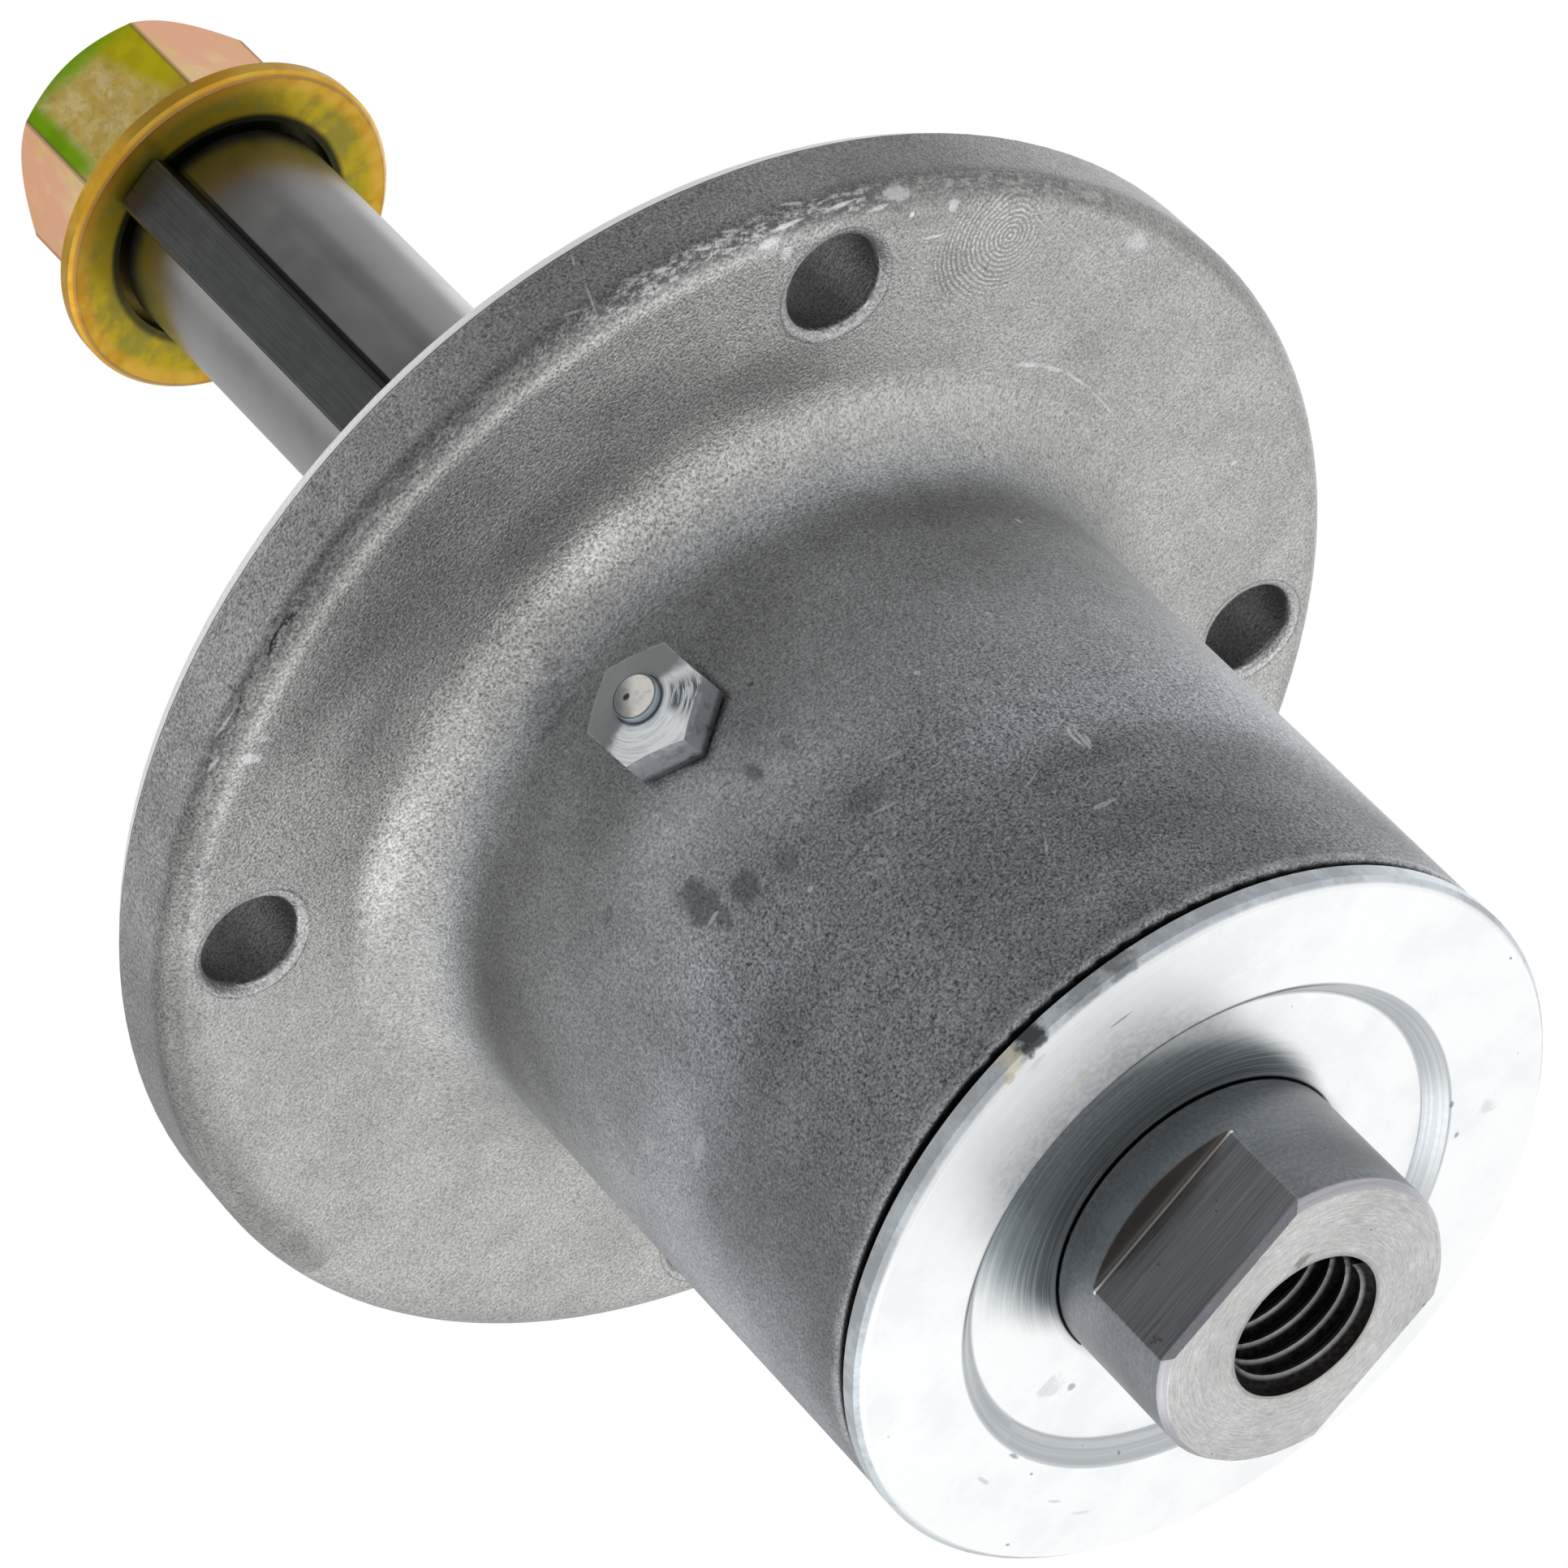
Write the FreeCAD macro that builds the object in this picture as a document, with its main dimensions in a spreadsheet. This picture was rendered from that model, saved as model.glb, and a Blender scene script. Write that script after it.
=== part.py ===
import FreeCAD, Part
import math
import os
import Sketcher

# Mower deck spindle, in millimetres. +Z runs up the spindle axis, from the blade end to the
# pulley nut. The origin is the centre of the machined face that bolts up under the deck.

SIZES = {
    # spindle shaft
    "BladeFaceDrop": 101.0,
    "HeadRadius": 15.875,
    "HeadBevelRadial": 0.58,
    "HeadBevelAxial": 0.93,
    "ShaftRadius": 12.5,
    "ShaftTop": 95.1,
    "ShaftTopBevel": 0.3,
    "BladeThreadRadius": 7.94,
    "BladeThreadDepth": 38.0,
    "DrillPointRise": 4.0,
    "FlatHalfWidth": 12.7,
    "FlatLength": 11.6,
    "FlatTurn": 3.0,
    "StudRadius": 9.5,
    "StudReliefRadius": 8.9,
    "StudReliefLength": 2.0,
    "StudLength": 23.3,
    "StudBevel": 1.0,
    "ShaftTurn": -7.65,
    # pulley key
    "KeyWidth": 6.35,
    "KeyDepth": 3.175,
    "KeyHeight": 6.35,
    "KeyLength": 60.0,
    "KeyEdge": 0.4,
    "KeyFit": 0.02,
    "KeyEndGap": 0.1,
    # housing
    "HousingDepth": 82.7,
    "BarrelEndRadius": 38.7,
    "BarrelRootRadius": 39.2,
    "BarrelEndRounding": 0.8,
    "FlareRadius": 8.4,
    "FlangeThickness": 11.8,
    "FlangeRadius": 67.7,
    "FlangeRounding": 3.0,
    "FlangeBackBevel": 0.2,
    "FlangeBackDrop": 0.55,
    "LipInset": 1.15,
    "LipWidth": 1.85,
    "LipBevel": 0.15,
    "PilotRadius": 38.1,
    "PilotHeight": 5.0,
    "PilotBevel": 0.8,
    "BoltEdgeDistance": 8.95,
    "BoltHoleRadius": 5.16,
    "BoltHoleRounding": 1.05,
    "BoltCount": 4,
    "FirstBoltAngle": 43.35,
    "BearingRecess": 1.5,
    "ShoulderRadius": 27.0,
    # ball bearings
    "BearingRadius": 31.0,
    "BearingWidth": 17.0,
    "BearingCorner": 1.0,
    "SeatFit": 0.02,
    "BallRadius": 5.75,
    "BallCircleRadius": 21.85,
    "BallCount": 7,
    "RaceClearance": 0.15,
    "InnerRaceLand": 18.3,
    "OuterRaceLand": 25.4,
    "CageInnerRadius": 20.2,
    "CageOuterRadius": 23.5,
    "CageRim": 7.6,
    "CageProng": 3.5,
    "PocketClearance": 0.2,
    "SealInset": 0.5,
    "SealThickness": 1.4,
    "SealLipGap": 0.3,
    "SealRibWidth": 1.6,
    "SealRibDepth": 0.35,
    "SpacerRadius": 17.0,
    "SpacerBoreGap": 0.3,
    # lower dust cap
    "CapRadius": 38.85,
    "CapGap": 1.0,
    "CapRimHeight": 2.4,
    "CapBevel": 0.8,
    "CapRecessRadius": 27.3,
    "CapRecessFloor": 25.5,
    "CapRecessDepth": 1.75,
    "CapWeb": 2.0,
    "CapHubRadius": 18.4,
    "CapRingRadius": 29.6,
    "CapRingRise": 1.6,
    "CapHeadFit": 0.05,
    # upper dust cap
    "UpperCapRadius": 36.0,
    "UpperCapGap": 1.0,
    "UpperCapThickness": 2.4,
    "UpperCapBevel": 0.7,
    # pulley nut
    "NutFaceDrop": 0.6,
    "NutDish": 0.7,
    "NutFaceRadius": 19.0,
    "NutFlangeRadius": 19.65,
    "NutFlangeHeight": 2.2,
    "NutConeTop": 4.8,
    "NutConeRadius": 14.2,
    "NutCounterGap": 0.9,
    "NutCounterDepth": 2.6,
    "NutFlatHalf": 13.35,
    "NutHexTop": 22.7,
    "NutHexBevel": 3.4,
    "NutHexBevelWidth": 3.3,
    "NutCollarRadius": 12.2,
    "NutCollarTop": 24.6,
    "NutCollarBevel": 1.3,
    "NutTurn": 5.8,
    "NutLip": 0.6,
    "ThreadFit": 0.05,
    "InsertRadius": 11.2,
    "InsertBase": 20.0,
    "InsertHeight": 3.6,
    "InsertLead": 0.6,
    # grease relief valve
    "ValveDrop": 29.5,
    "ValveTurn": 33,
    "ValveShankRadius": 5.0,
    "ValveShankLength": 8.0,
    "ValveHexHalf": 5.5,
    "ValveHexShoulder": 3.66,
    "ValveHexHeight": 4.8,
    "ValveNeckRadius": 2.9,
    "ValveStemRadius": 1.1,
    "ValveStemFit": 0.08,
    "ValveChamberRadius": 3.2,
    "ValveChamberTop": 2.6,
    "ValveFloor": 1.0,
    "ValveInletRadius": 1.8,
    "ButtonRadius": 2.38,
    "ButtonHeight": 0.85,
    "ButtonEdge": 0.15,
    "ButtonGap": 0.12,
    "DiscRadius": 2.95,
    "DiscThickness": 1.2,
    "SpringWireRadius": 0.28,
    "SpringRadius": 2.2,
    "SpringTurns": 5,
    "SpringPlay": 0.75,
    "SpringSeatGap": 0.05,
}

doc = FreeCAD.newDocument("MowerDeckSpindle")
sheet = doc.addObject("Spreadsheet::Sheet", "Sizes")
for row, (name, number) in enumerate(SIZES.items(), start=1):
    sheet.set(f"A{row}", name)
    sheet.set(f"B{row}", str(number))
    sheet.setAlias(f"B{row}", name)
doc.recompute()


def bound(expression):
    """Write a size name as the sheet's own cell."""
    words = []
    for word in expression.replace("(", "( ").replace(")", " )").split():
        words.append("Sizes." + word if word in SIZES else word)
    return " ".join(words)


def number(expression):
    """The present value of an expression on the sizes."""
    return float(sheet.evalExpression(bound(expression)))


def new_body(label):
    body = doc.addObject("PartDesign::Body", label)
    body.Label = label
    return body


def base_plane(body, role):
    return next(item for item in body.Origin.OriginFeatures if item.Role == role)


def new_sketch(body, name, role, lift="0", turn="0"):
    """A sketch on an origin plane, lifted along the plane's normal and turned about it."""
    sketch = body.newObject("Sketcher::SketchObject", name)
    sketch.AttachmentSupport = [(base_plane(body, role), "")]
    sketch.MapMode = "FlatFace"
    turning = FreeCAD.Rotation(FreeCAD.Vector(0, 0, 1), number(turn))
    sketch.AttachmentOffset = FreeCAD.Placement(FreeCAD.Vector(0, 0, number(lift)), turning)
    sketch.setExpression("AttachmentOffset.Base.z", bound(lift))
    sketch.setExpression("AttachmentOffset.Rotation.Angle", bound(turn))
    return sketch


def add_outline(sketch, corners, arcs=None):
    """A closed outline whose corners are held by expressions on the sizes.

    The arcs give, for a side's number, the radius of the arc that replaces its straight line.
    Seen along the outline, such an arc bulges to the right.
    """
    arcs = arcs or {}
    points = [FreeCAD.Vector(number(x), number(y), 0) for x, y in corners]
    first = sketch.GeometryCount
    count = len(points)
    for index in range(count):
        start = points[index]
        end = points[(index + 1) % count]
        if index in arcs:
            radius = number(arcs[index])
            along = end - start
            outward = FreeCAD.Vector(along.y, -along.x, 0).normalize()
            rise = radius - math.sqrt(radius ** 2 - along.Length ** 2 / 4)
            middle = (start + end) / 2 + outward * rise
            sketch.addGeometry(Part.Arc(start, middle, end), False)
        else:
            sketch.addGeometry(Part.LineSegment(start, end), False)
    for index in range(count):
        follower = first + (index + 1) % count
        sketch.addConstraint(Sketcher.Constraint("Coincident", first + index, 2, follower, 1))
    for index, radius in arcs.items():
        rule = Sketcher.Constraint("Radius", first + index, number(radius))
        held = sketch.addConstraint(rule)
        sketch.setExpression(f"Constraints[{held}]", bound(radius))
    for index, corner in enumerate(corners):
        for kind, value, text in zip(("DistanceX", "DistanceY"), points[index], corner):
            rule = Sketcher.Constraint(kind, -1, 1, first + index, 1, value)
            held = sketch.addConstraint(rule)
            sketch.setExpression(f"Constraints[{held}]", bound(text))


def add_circle(sketch, across, up, radius):
    """A circle whose centre and radius are held by expressions on the sizes."""
    centre = FreeCAD.Vector(number(across), number(up), 0)
    circle = Part.Circle(centre, FreeCAD.Vector(0, 0, 1), number(radius))
    index = sketch.addGeometry(circle, False)
    rules = (("DistanceX", centre.x, across), ("DistanceY", centre.y, up))
    for kind, value, text in rules:
        held = sketch.addConstraint(Sketcher.Constraint(kind, -1, 1, index, 3, value))
        sketch.setExpression(f"Constraints[{held}]", bound(text))
    held = sketch.addConstraint(Sketcher.Constraint("Radius", index, number(radius)))
    sketch.setExpression(f"Constraints[{held}]", bound(radius))


def add_hexagon(sketch, half_width):
    """A hexagon with a flat on the sketch's lower side, from half its width over flats."""
    corner = f"{half_width} / cos(30)"
    corners = []
    for step in range(6):
        angle = 60 * step
        corners.append((f"{corner} * cos({angle})", f"{corner} * sin({angle})"))
    add_outline(sketch, corners)


def revolve(body, name, corners, kind="PartDesign::Revolution", arcs=None):
    """Turn an outline of radius and height corners about the body's Z axis."""
    sketch = new_sketch(body, name + "Profile", "XZ_Plane")
    add_outline(sketch, corners, arcs)
    turned = body.newObject(kind, name)
    turned.Profile = sketch
    turned.ReferenceAxis = (sketch, ["V_Axis"])
    turned.Angle = 360
    return turned


def turned_piece(label, corners):
    body = new_body(label)
    revolve(body, label + "Turning", corners)
    return body


def cut(body, name, sketch, length, outward=False):
    pocket = body.newObject("PartDesign::Pocket", name)
    pocket.Profile = sketch
    pocket.Type = 0
    pocket.Length = number(length)
    pocket.setExpression("Length", bound(length))
    pocket.Reversed = outward
    return pocket


def pad(body, name, sketch, length):
    raised = body.newObject("PartDesign::Pad", name)
    raised.Profile = sketch
    raised.Length = number(length)
    raised.setExpression("Length", bound(length))
    return raised


def repeat_round(body, name, feature, sketch_axis, count):
    pattern = body.newObject("PartDesign::PolarPattern", name)
    pattern.Originals = [feature]
    pattern.Axis = sketch_axis
    pattern.Angle = 360
    pattern.Occurrences = int(number(count))
    pattern.setExpression("Occurrences", bound(count))
    body.Tip = pattern
    return pattern


def round_edges(body, name, chosen, radius, kind="PartDesign::Fillet"):
    """Round or bevel the edges of the body's last feature that the test picks."""
    doc.recompute()
    base = body.Tip
    names = []
    for index, edge in enumerate(base.Shape.Edges, start=1):
        if chosen(edge):
            names.append(f"Edge{index}")
    dress = body.newObject(kind, name)
    dress.Base = (base, names)
    held = "Radius" if kind.endswith("Fillet") else "Size"
    setattr(dress, held, number(radius))
    dress.setExpression(held, bound(radius))
    return dress


def ring_at(radius, height):
    """Pick the circular edge round the Z axis with this radius and height."""
    wanted_radius = number(radius)
    wanted_height = number(height)

    def chosen(edge):
        curve = edge.Curve
        if not isinstance(curve, Part.Circle):
            return False
        same_radius = abs(curve.Radius - wanted_radius) < 0.01
        return same_radius and abs(curve.Center.z - wanted_height) < 0.01
    return chosen


def turn_about_axis(body, angle):
    body.Placement = FreeCAD.Placement(
        FreeCAD.Vector(0, 0, 0), FreeCAD.Rotation(FreeCAD.Vector(0, 0, 1), number(angle)))
    body.setExpression("Placement.Rotation.Angle", bound(angle))


# Levels along the axis, shared by the pieces that meet there.
blade_face = "- BladeFaceDrop"
barrel_end = "- HousingDepth"
flange_front = "- FlangeThickness"
lip_radius = "( FlangeRadius - LipInset )"
bolt_circle = "( FlangeRadius - BoltEdgeDistance )"
lower_bearing_base = f"{barrel_end} + BearingRecess"
lower_bearing_top = f"{lower_bearing_base} + BearingWidth"
upper_bearing_top = "PilotHeight - BearingRecess"
upper_bearing_base = f"{upper_bearing_top} - BearingWidth"
head_shoulder = f"{lower_bearing_base} - CapWeb"
cap_back = f"{barrel_end} - CapGap"
cap_front = f"{cap_back} - CapRimHeight"
nut_face = "ShaftTop - NutFaceDrop"
key_head = f"{nut_face} - KeyEndGap"
key_foot = f"{key_head} - KeyLength"
seat_radius = "( BearingRadius + SeatFit )"

# The valve's hexagon stands clear of the tapered barrel at both of its corners.
valve_corner = "( ValveHexHalf / cos(30) )"
barrel_taper = "( BarrelRootRadius - BarrelEndRadius ) / ( HousingDepth - FlangeThickness )"
valve_seat = (f"BarrelEndRadius + ( HousingDepth - ValveDrop ) * {barrel_taper}"
              f" + {valve_corner} * abs( {barrel_taper} ) + SeatFit")


def make_housing():
    """One casting: barrel, flare and flange, with machined seats, pilot and back face."""
    body = new_body("housing")
    revolve(body, "HousingCasting", [
        (seat_radius, barrel_end),
        ("BarrelEndRadius", barrel_end),
        ("BarrelRootRadius", flange_front),
        ("FlangeRadius - FlangeRounding", flange_front),
        ("FlangeRadius", f"{flange_front} + FlangeRounding"),
        ("FlangeRadius", "- LipWidth - FlangeBackDrop"),
        ("FlangeRadius - FlangeBackBevel", "- LipWidth"),
        (lip_radius, "- LipWidth"),
        (lip_radius, "- LipBevel"),
        (f"{lip_radius} - LipBevel", "0"),
        ("PilotRadius", "0"),
        ("PilotRadius", "PilotHeight - PilotBevel"),
        ("PilotRadius - PilotBevel", "PilotHeight"),
        (seat_radius, "PilotHeight"),
        (seat_radius, upper_bearing_base),
        ("ShoulderRadius", upper_bearing_base),
        ("ShoulderRadius", lower_bearing_top),
        (seat_radius, lower_bearing_top),
    ], arcs={3: "FlangeRounding"})
    round_edges(body, "Flare", ring_at("BarrelRootRadius", flange_front), "FlareRadius")
    round_edges(body, "BarrelEdge", ring_at("BarrelEndRadius", barrel_end), "BarrelEndRounding")

    bolt_sketch = new_sketch(body, "BoltHoleProfile", "XY_Plane", "0.5")
    add_circle(bolt_sketch, f"{bolt_circle} * cos( FirstBoltAngle )",
               f"{bolt_circle} * sin( FirstBoltAngle )", "BoltHoleRadius")
    hole = cut(body, "BoltHole", bolt_sketch, "FlangeThickness + 1")
    repeat_round(body, "BoltHoles", hole, (bolt_sketch, ["N_Axis"]), "BoltCount")

    def hole_mouth(edge):
        curve = edge.Curve
        if not isinstance(curve, Part.Circle):
            return False
        same_radius = abs(curve.Radius - number("BoltHoleRadius")) < 0.01
        return same_radius and abs(curve.Center.z - number(flange_front)) < 0.01
    round_edges(body, "BoltHoleMouths", hole_mouth, "BoltHoleRounding")

    port_sketch = new_sketch(body, "ValvePortProfile", "XZ_Plane")
    add_circle(port_sketch, "0", "- ValveDrop", "ValveShankRadius + SeatFit")
    cut(body, "ValvePort", port_sketch, "BarrelRootRadius + FlareRadius", outward=True)
    return body


def make_shaft():
    """Turned shaft: flatted head for the blade, long journal, keyway and threaded stud."""
    body = new_body("spindle_shaft")
    thread_end = f"{blade_face} + BladeThreadDepth"
    stud_top = "ShaftTop + StudLength"
    relief_top = "ShaftTop + StudReliefLength"
    revolve(body, "ShaftTurning", [
        ("0", f"{thread_end} + DrillPointRise"),
        ("BladeThreadRadius", thread_end),
        ("BladeThreadRadius", blade_face),
        ("HeadRadius - HeadBevelRadial", blade_face),
        ("HeadRadius", f"{blade_face} + HeadBevelAxial"),
        ("HeadRadius", head_shoulder),
        ("ShaftRadius", head_shoulder),
        ("ShaftRadius", "ShaftTop - ShaftTopBevel"),
        ("ShaftRadius - ShaftTopBevel", "ShaftTop"),
        ("StudReliefRadius", "ShaftTop"),
        ("StudReliefRadius", relief_top),
        ("StudRadius", f"{relief_top} + StudRadius - StudReliefRadius"),
        ("StudRadius", f"{stud_top} - StudBevel"),
        ("StudRadius - StudBevel", stud_top),
        ("0", stud_top),
    ])
    keyway = new_sketch(body, "KeywayProfile", "XZ_Plane", "ShaftRadius - KeyDepth")
    add_outline(keyway, [
        ("- KeyWidth / 2 - KeyFit", f"{key_foot} - KeyFit"),
        ("KeyWidth / 2 + KeyFit", f"{key_foot} - KeyFit"),
        ("KeyWidth / 2 + KeyFit", "ShaftTop + 1"),
        ("- KeyWidth / 2 - KeyFit", "ShaftTop + 1"),
    ])
    cut(body, "Keyway", keyway, "KeyDepth + 1", outward=True)

    flats = new_sketch(body, "FlatsProfile", "XY_Plane", blade_face, "FlatTurn")
    for side in ("", "- "):
        add_outline(flats, [
            ("- HeadRadius - 1", f"{side}FlatHalfWidth"),
            ("HeadRadius + 1", f"{side}FlatHalfWidth"),
            ("HeadRadius + 1", f"{side}( HeadRadius + 1 )"),
            ("- HeadRadius - 1", f"{side}( HeadRadius + 1 )"),
        ])
    cut(body, "WrenchFlats", flats, "FlatLength", outward=True)
    turn_about_axis(body, "ShaftTurn")
    return body


def make_key():
    """Square key bar, let into the shaft for half its height."""
    body = new_body("pulley_key")
    plan = new_sketch(body, "KeyPlan", "XZ_Plane", "ShaftRadius - KeyDepth + KeyFit")
    add_outline(plan, [
        ("- KeyWidth / 2", key_foot),
        ("KeyWidth / 2", key_foot),
        ("KeyWidth / 2", key_head),
        ("- KeyWidth / 2", key_head),
    ])
    pad(body, "KeyBar", plan, "KeyHeight")

    def long_outer_edge(edge):
        middle = edge.CenterOfMass
        upright = abs(edge.Length - number("KeyLength")) < 0.01
        return upright and middle.y < - number("ShaftRadius")
    round_edges(body, "KeyBevels", long_outer_edge, "KeyEdge", "PartDesign::Chamfer")
    turn_about_axis(body, "ShaftTurn")
    return body


def make_lower_cap():
    """Turned dust cap: bevelled rim, dished front, hub gripped between shaft head and bearing."""
    floor = f"{cap_front} + CapRecessDepth"
    ring_top = f"{cap_back} + CapRingRise"
    return turned_piece("lower_dust_cap", [
        ("HeadRadius + CapHeadFit", floor),
        ("CapRecessFloor", floor),
        ("CapRecessRadius", cap_front),
        ("CapRadius - CapBevel", cap_front),
        ("CapRadius", f"{cap_front} + CapBevel"),
        ("CapRadius", cap_back),
        ("CapRingRadius", cap_back),
        ("CapRingRadius", ring_top),
        ("CapHubRadius", ring_top),
        ("CapHubRadius", lower_bearing_base),
        ("ShaftRadius + SeatFit", lower_bearing_base),
        ("ShaftRadius + SeatFit", head_shoulder),
        ("HeadRadius + CapHeadFit", head_shoulder),
    ])


def make_upper_cap():
    """Turned dust cap under the pulley, standing on the upper bearing's inner race."""
    underside = "PilotHeight + UpperCapGap"
    top = f"{underside} + UpperCapThickness"
    return turned_piece("upper_dust_cap", [
        ("ShaftRadius + SeatFit", upper_bearing_top),
        ("CapHubRadius", upper_bearing_top),
        ("CapHubRadius", underside),
        ("UpperCapRadius", underside),
        ("UpperCapRadius", f"{top} - UpperCapBevel"),
        ("UpperCapRadius - UpperCapBevel", top),
        ("ShaftRadius + SeatFit", top),
    ])


def make_race(label, base, bore, inner, outer, bevelled):
    """A bearing ring with its ball track. The bevels are on the side that is pressed in."""
    bottom = base
    top = f"{base} + BearingWidth"
    if bevelled == "outer":
        corners = [
            (inner, bottom), (f"{outer} - BearingCorner", bottom),
            (outer, f"{bottom} + BearingCorner"), (outer, f"{top} - BearingCorner"),
            (f"{outer} - BearingCorner", top), (inner, top),
        ]
    else:
        corners = [
            (f"{bore} + BearingCorner", bottom), (outer, bottom), (outer, top),
            (f"{bore} + BearingCorner", top), (bore, f"{top} - BearingCorner"),
            (bore, f"{bottom} + BearingCorner"),
        ]
    body = turned_piece(label, corners)
    track = new_sketch(body, label + "TrackProfile", "XZ_Plane")
    add_circle(track, "BallCircleRadius", f"{base} + BearingWidth / 2",
               "BallRadius + RaceClearance")
    groove = body.newObject("PartDesign::Groove", label + "Track")
    groove.Profile = track
    groove.ReferenceAxis = (track, ["V_Axis"])
    groove.Angle = 360
    return body


def make_balls(label, base):
    """The bearing's balls, spaced evenly round the ball circle."""
    balls = []
    for step in range(int(number("BallCount"))):
        ball = doc.addObject("Part::Sphere", f"{label}_{step + 1}")
        ball.setExpression("Radius", bound("BallRadius"))
        angle = f"360 * {step} / BallCount"
        ball.setExpression("Placement.Base.x", bound(f"BallCircleRadius * cos( {angle} )"))
        ball.setExpression("Placement.Base.y", bound(f"BallCircleRadius * sin( {angle} )"))
        ball.setExpression("Placement.Base.z", bound(f"{base} + BearingWidth / 2"))
        balls.append(ball)
    group = doc.addObject("Part::Compound", label)
    group.Label = label
    group.Links = balls
    return group


def make_cage(label, base, rim_side):
    """Crown cage: a rim on one side of the balls, and prongs between them."""
    centre = f"{base} + BearingWidth / 2"
    rim = f"{centre} {rim_side} CageRim"
    prong = f"{centre} {'-' if rim_side == '+' else '+'} CageProng"
    body = turned_piece(label, [
        ("CageInnerRadius", rim), ("CageOuterRadius", rim),
        ("CageOuterRadius", prong), ("CageInnerRadius", prong),
    ])
    pocket_sketch = new_sketch(body, label + "PocketProfile", "YZ_Plane")
    add_circle(pocket_sketch, "0", centre, "BallRadius + PocketClearance")
    pocket = cut(body, label + "Pocket", pocket_sketch, "CageOuterRadius + 1", outward=True)
    repeat_round(body, label + "Pockets", pocket, (pocket_sketch, ["V_Axis"]), "BallCount")
    return body


def make_seal(label, outer_face, inward):
    """Rubber lip seal between the races, just inside the bearing's open face."""
    near = f"{outer_face} {inward} SealInset"
    far = f"{near} {inward} SealThickness"
    dish = f"{near} {inward} SealRibDepth"
    lip = "InnerRaceLand + SealLipGap"
    rim = "OuterRaceLand - SeatFit"
    return turned_piece(label, [
        (lip, near),
        (f"{lip} + SealRibWidth", near),
        (f"{lip} + SealRibWidth + SealRibDepth", dish),
        (f"{rim} - SealRibWidth / 2 - SealRibDepth", dish),
        (f"{rim} - SealRibWidth / 2", near),
        (rim, near),
        (rim, far),
        (lip, far),
    ])


def make_bearing(side, base, seal_face, inward):
    """A deep groove ball bearing, sealed on the face towards the open end of the housing."""
    pieces = []
    pieces.append(make_race(f"{side}_outer_race", base, "0", "OuterRaceLand",
                            "BearingRadius", "outer"))
    pieces.append(make_race(f"{side}_inner_race", base, "( ShaftRadius + SeatFit )", "0",
                            "InnerRaceLand", "inner"))
    pieces.append(make_balls(f"{side}_bearing_balls", base))
    pieces.append(make_cage(f"{side}_ball_cage", base, inward))
    pieces.append(make_seal(f"{side}_bearing_seal", seal_face, inward))
    return pieces


def make_spacer():
    """Tube between the two inner races."""
    return turned_piece("bearing_spacer", [
        ("ShaftRadius + SpacerBoreGap", lower_bearing_top),
        ("SpacerRadius", lower_bearing_top),
        ("SpacerRadius", upper_bearing_base),
        ("ShaftRadius + SpacerBoreGap", upper_bearing_base),
    ])


def make_nut():
    """Hexagon flange nut with a dished face and a collar that grips the locking ring."""
    body = new_body("pulley_nut")
    bore = "( StudRadius + ThreadFit )"
    counter = "( ShaftRadius + NutCounterGap )"
    bevel_foot = "NutFlatHalf - 0.3 + NutHexBevelWidth"

    def level(height):
        return f"{nut_face} + {height}"
    revolve(body, "NutFlange", [
        (counter, level("NutDish")),
        ("NutFaceRadius", level("0")),
        ("NutFlangeRadius", level("NutFlangeRadius - NutFaceRadius")),
        ("NutFlangeRadius", level("NutFlangeHeight")),
        ("NutConeRadius", level("NutConeTop")),
        (bore, level("NutConeTop")),
        (bore, level("NutCounterDepth")),
        (counter, level("NutCounterDepth")),
    ])
    hexagon = new_sketch(body, "NutHexProfile", "XY_Plane", level("NutCounterDepth"))
    add_hexagon(hexagon, "NutFlatHalf")
    add_circle(hexagon, "0", "0", bore)
    pad(body, "NutHex", hexagon, "NutHexTop - NutCounterDepth")
    revolve(body, "NutHexBevels", [
        ("NutFlatHalf - 0.3", level("NutHexTop")),
        (f"{bevel_foot}", level("NutHexTop")),
        (f"{bevel_foot}", level("NutHexTop - NutHexBevel")),
    ], "PartDesign::Groove")
    ring_top = "InsertBase + InsertHeight"
    revolve(body, "NutCollar", [
        (bore, level("NutHexTop - 0.5")),
        ("NutCollarRadius", level("NutHexTop - 0.5")),
        ("NutCollarRadius", level("NutCollarTop - NutCollarBevel")),
        ("NutCollarRadius - NutCollarBevel", level("NutCollarTop")),
        (bore, level("NutCollarTop")),
    ])
    revolve(body, "NutRingSeat", [
        ("StudRadius", level("InsertBase")),
        ("InsertRadius", level("InsertBase")),
        ("InsertRadius", level(ring_top)),
        (f"{bore} + NutLip", level(ring_top)),
        (f"{bore} + NutLip", level("NutCollarTop + 0.1")),
        ("StudRadius", level("NutCollarTop + 0.1")),
    ], "PartDesign::Groove")
    turn_about_axis(body, "NutTurn")
    return body


def make_locking_ring():
    """Nylon ring gripped in the nut's collar."""
    base = f"{nut_face} + InsertBase + SeatFit"
    top = f"{nut_face} + InsertBase + InsertHeight - SeatFit"
    return turned_piece("nut_locking_ring", [
        ("StudRadius + SeatFit", base),
        ("InsertRadius - SeatFit", base),
        ("InsertRadius - SeatFit", top),
        ("StudRadius + SeatFit + InsertLead", top),
        ("StudRadius + SeatFit", f"{top} - InsertLead"),
    ])


def stand_on_barrel(piece):
    """Set a valve piece on the barrel's front, its own Z axis pointing out along -Y."""
    upright = FreeCAD.Rotation(FreeCAD.Vector(1, 0, 0), 90)
    piece.Placement = FreeCAD.Placement(
        FreeCAD.Vector(0, -number(valve_seat), -number("ValveDrop")), upright)
    piece.setExpression("Placement.Base.y", bound(f"- ( {valve_seat} )"))
    piece.setExpression("Placement.Base.z", bound("- ValveDrop"))
    return piece


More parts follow.
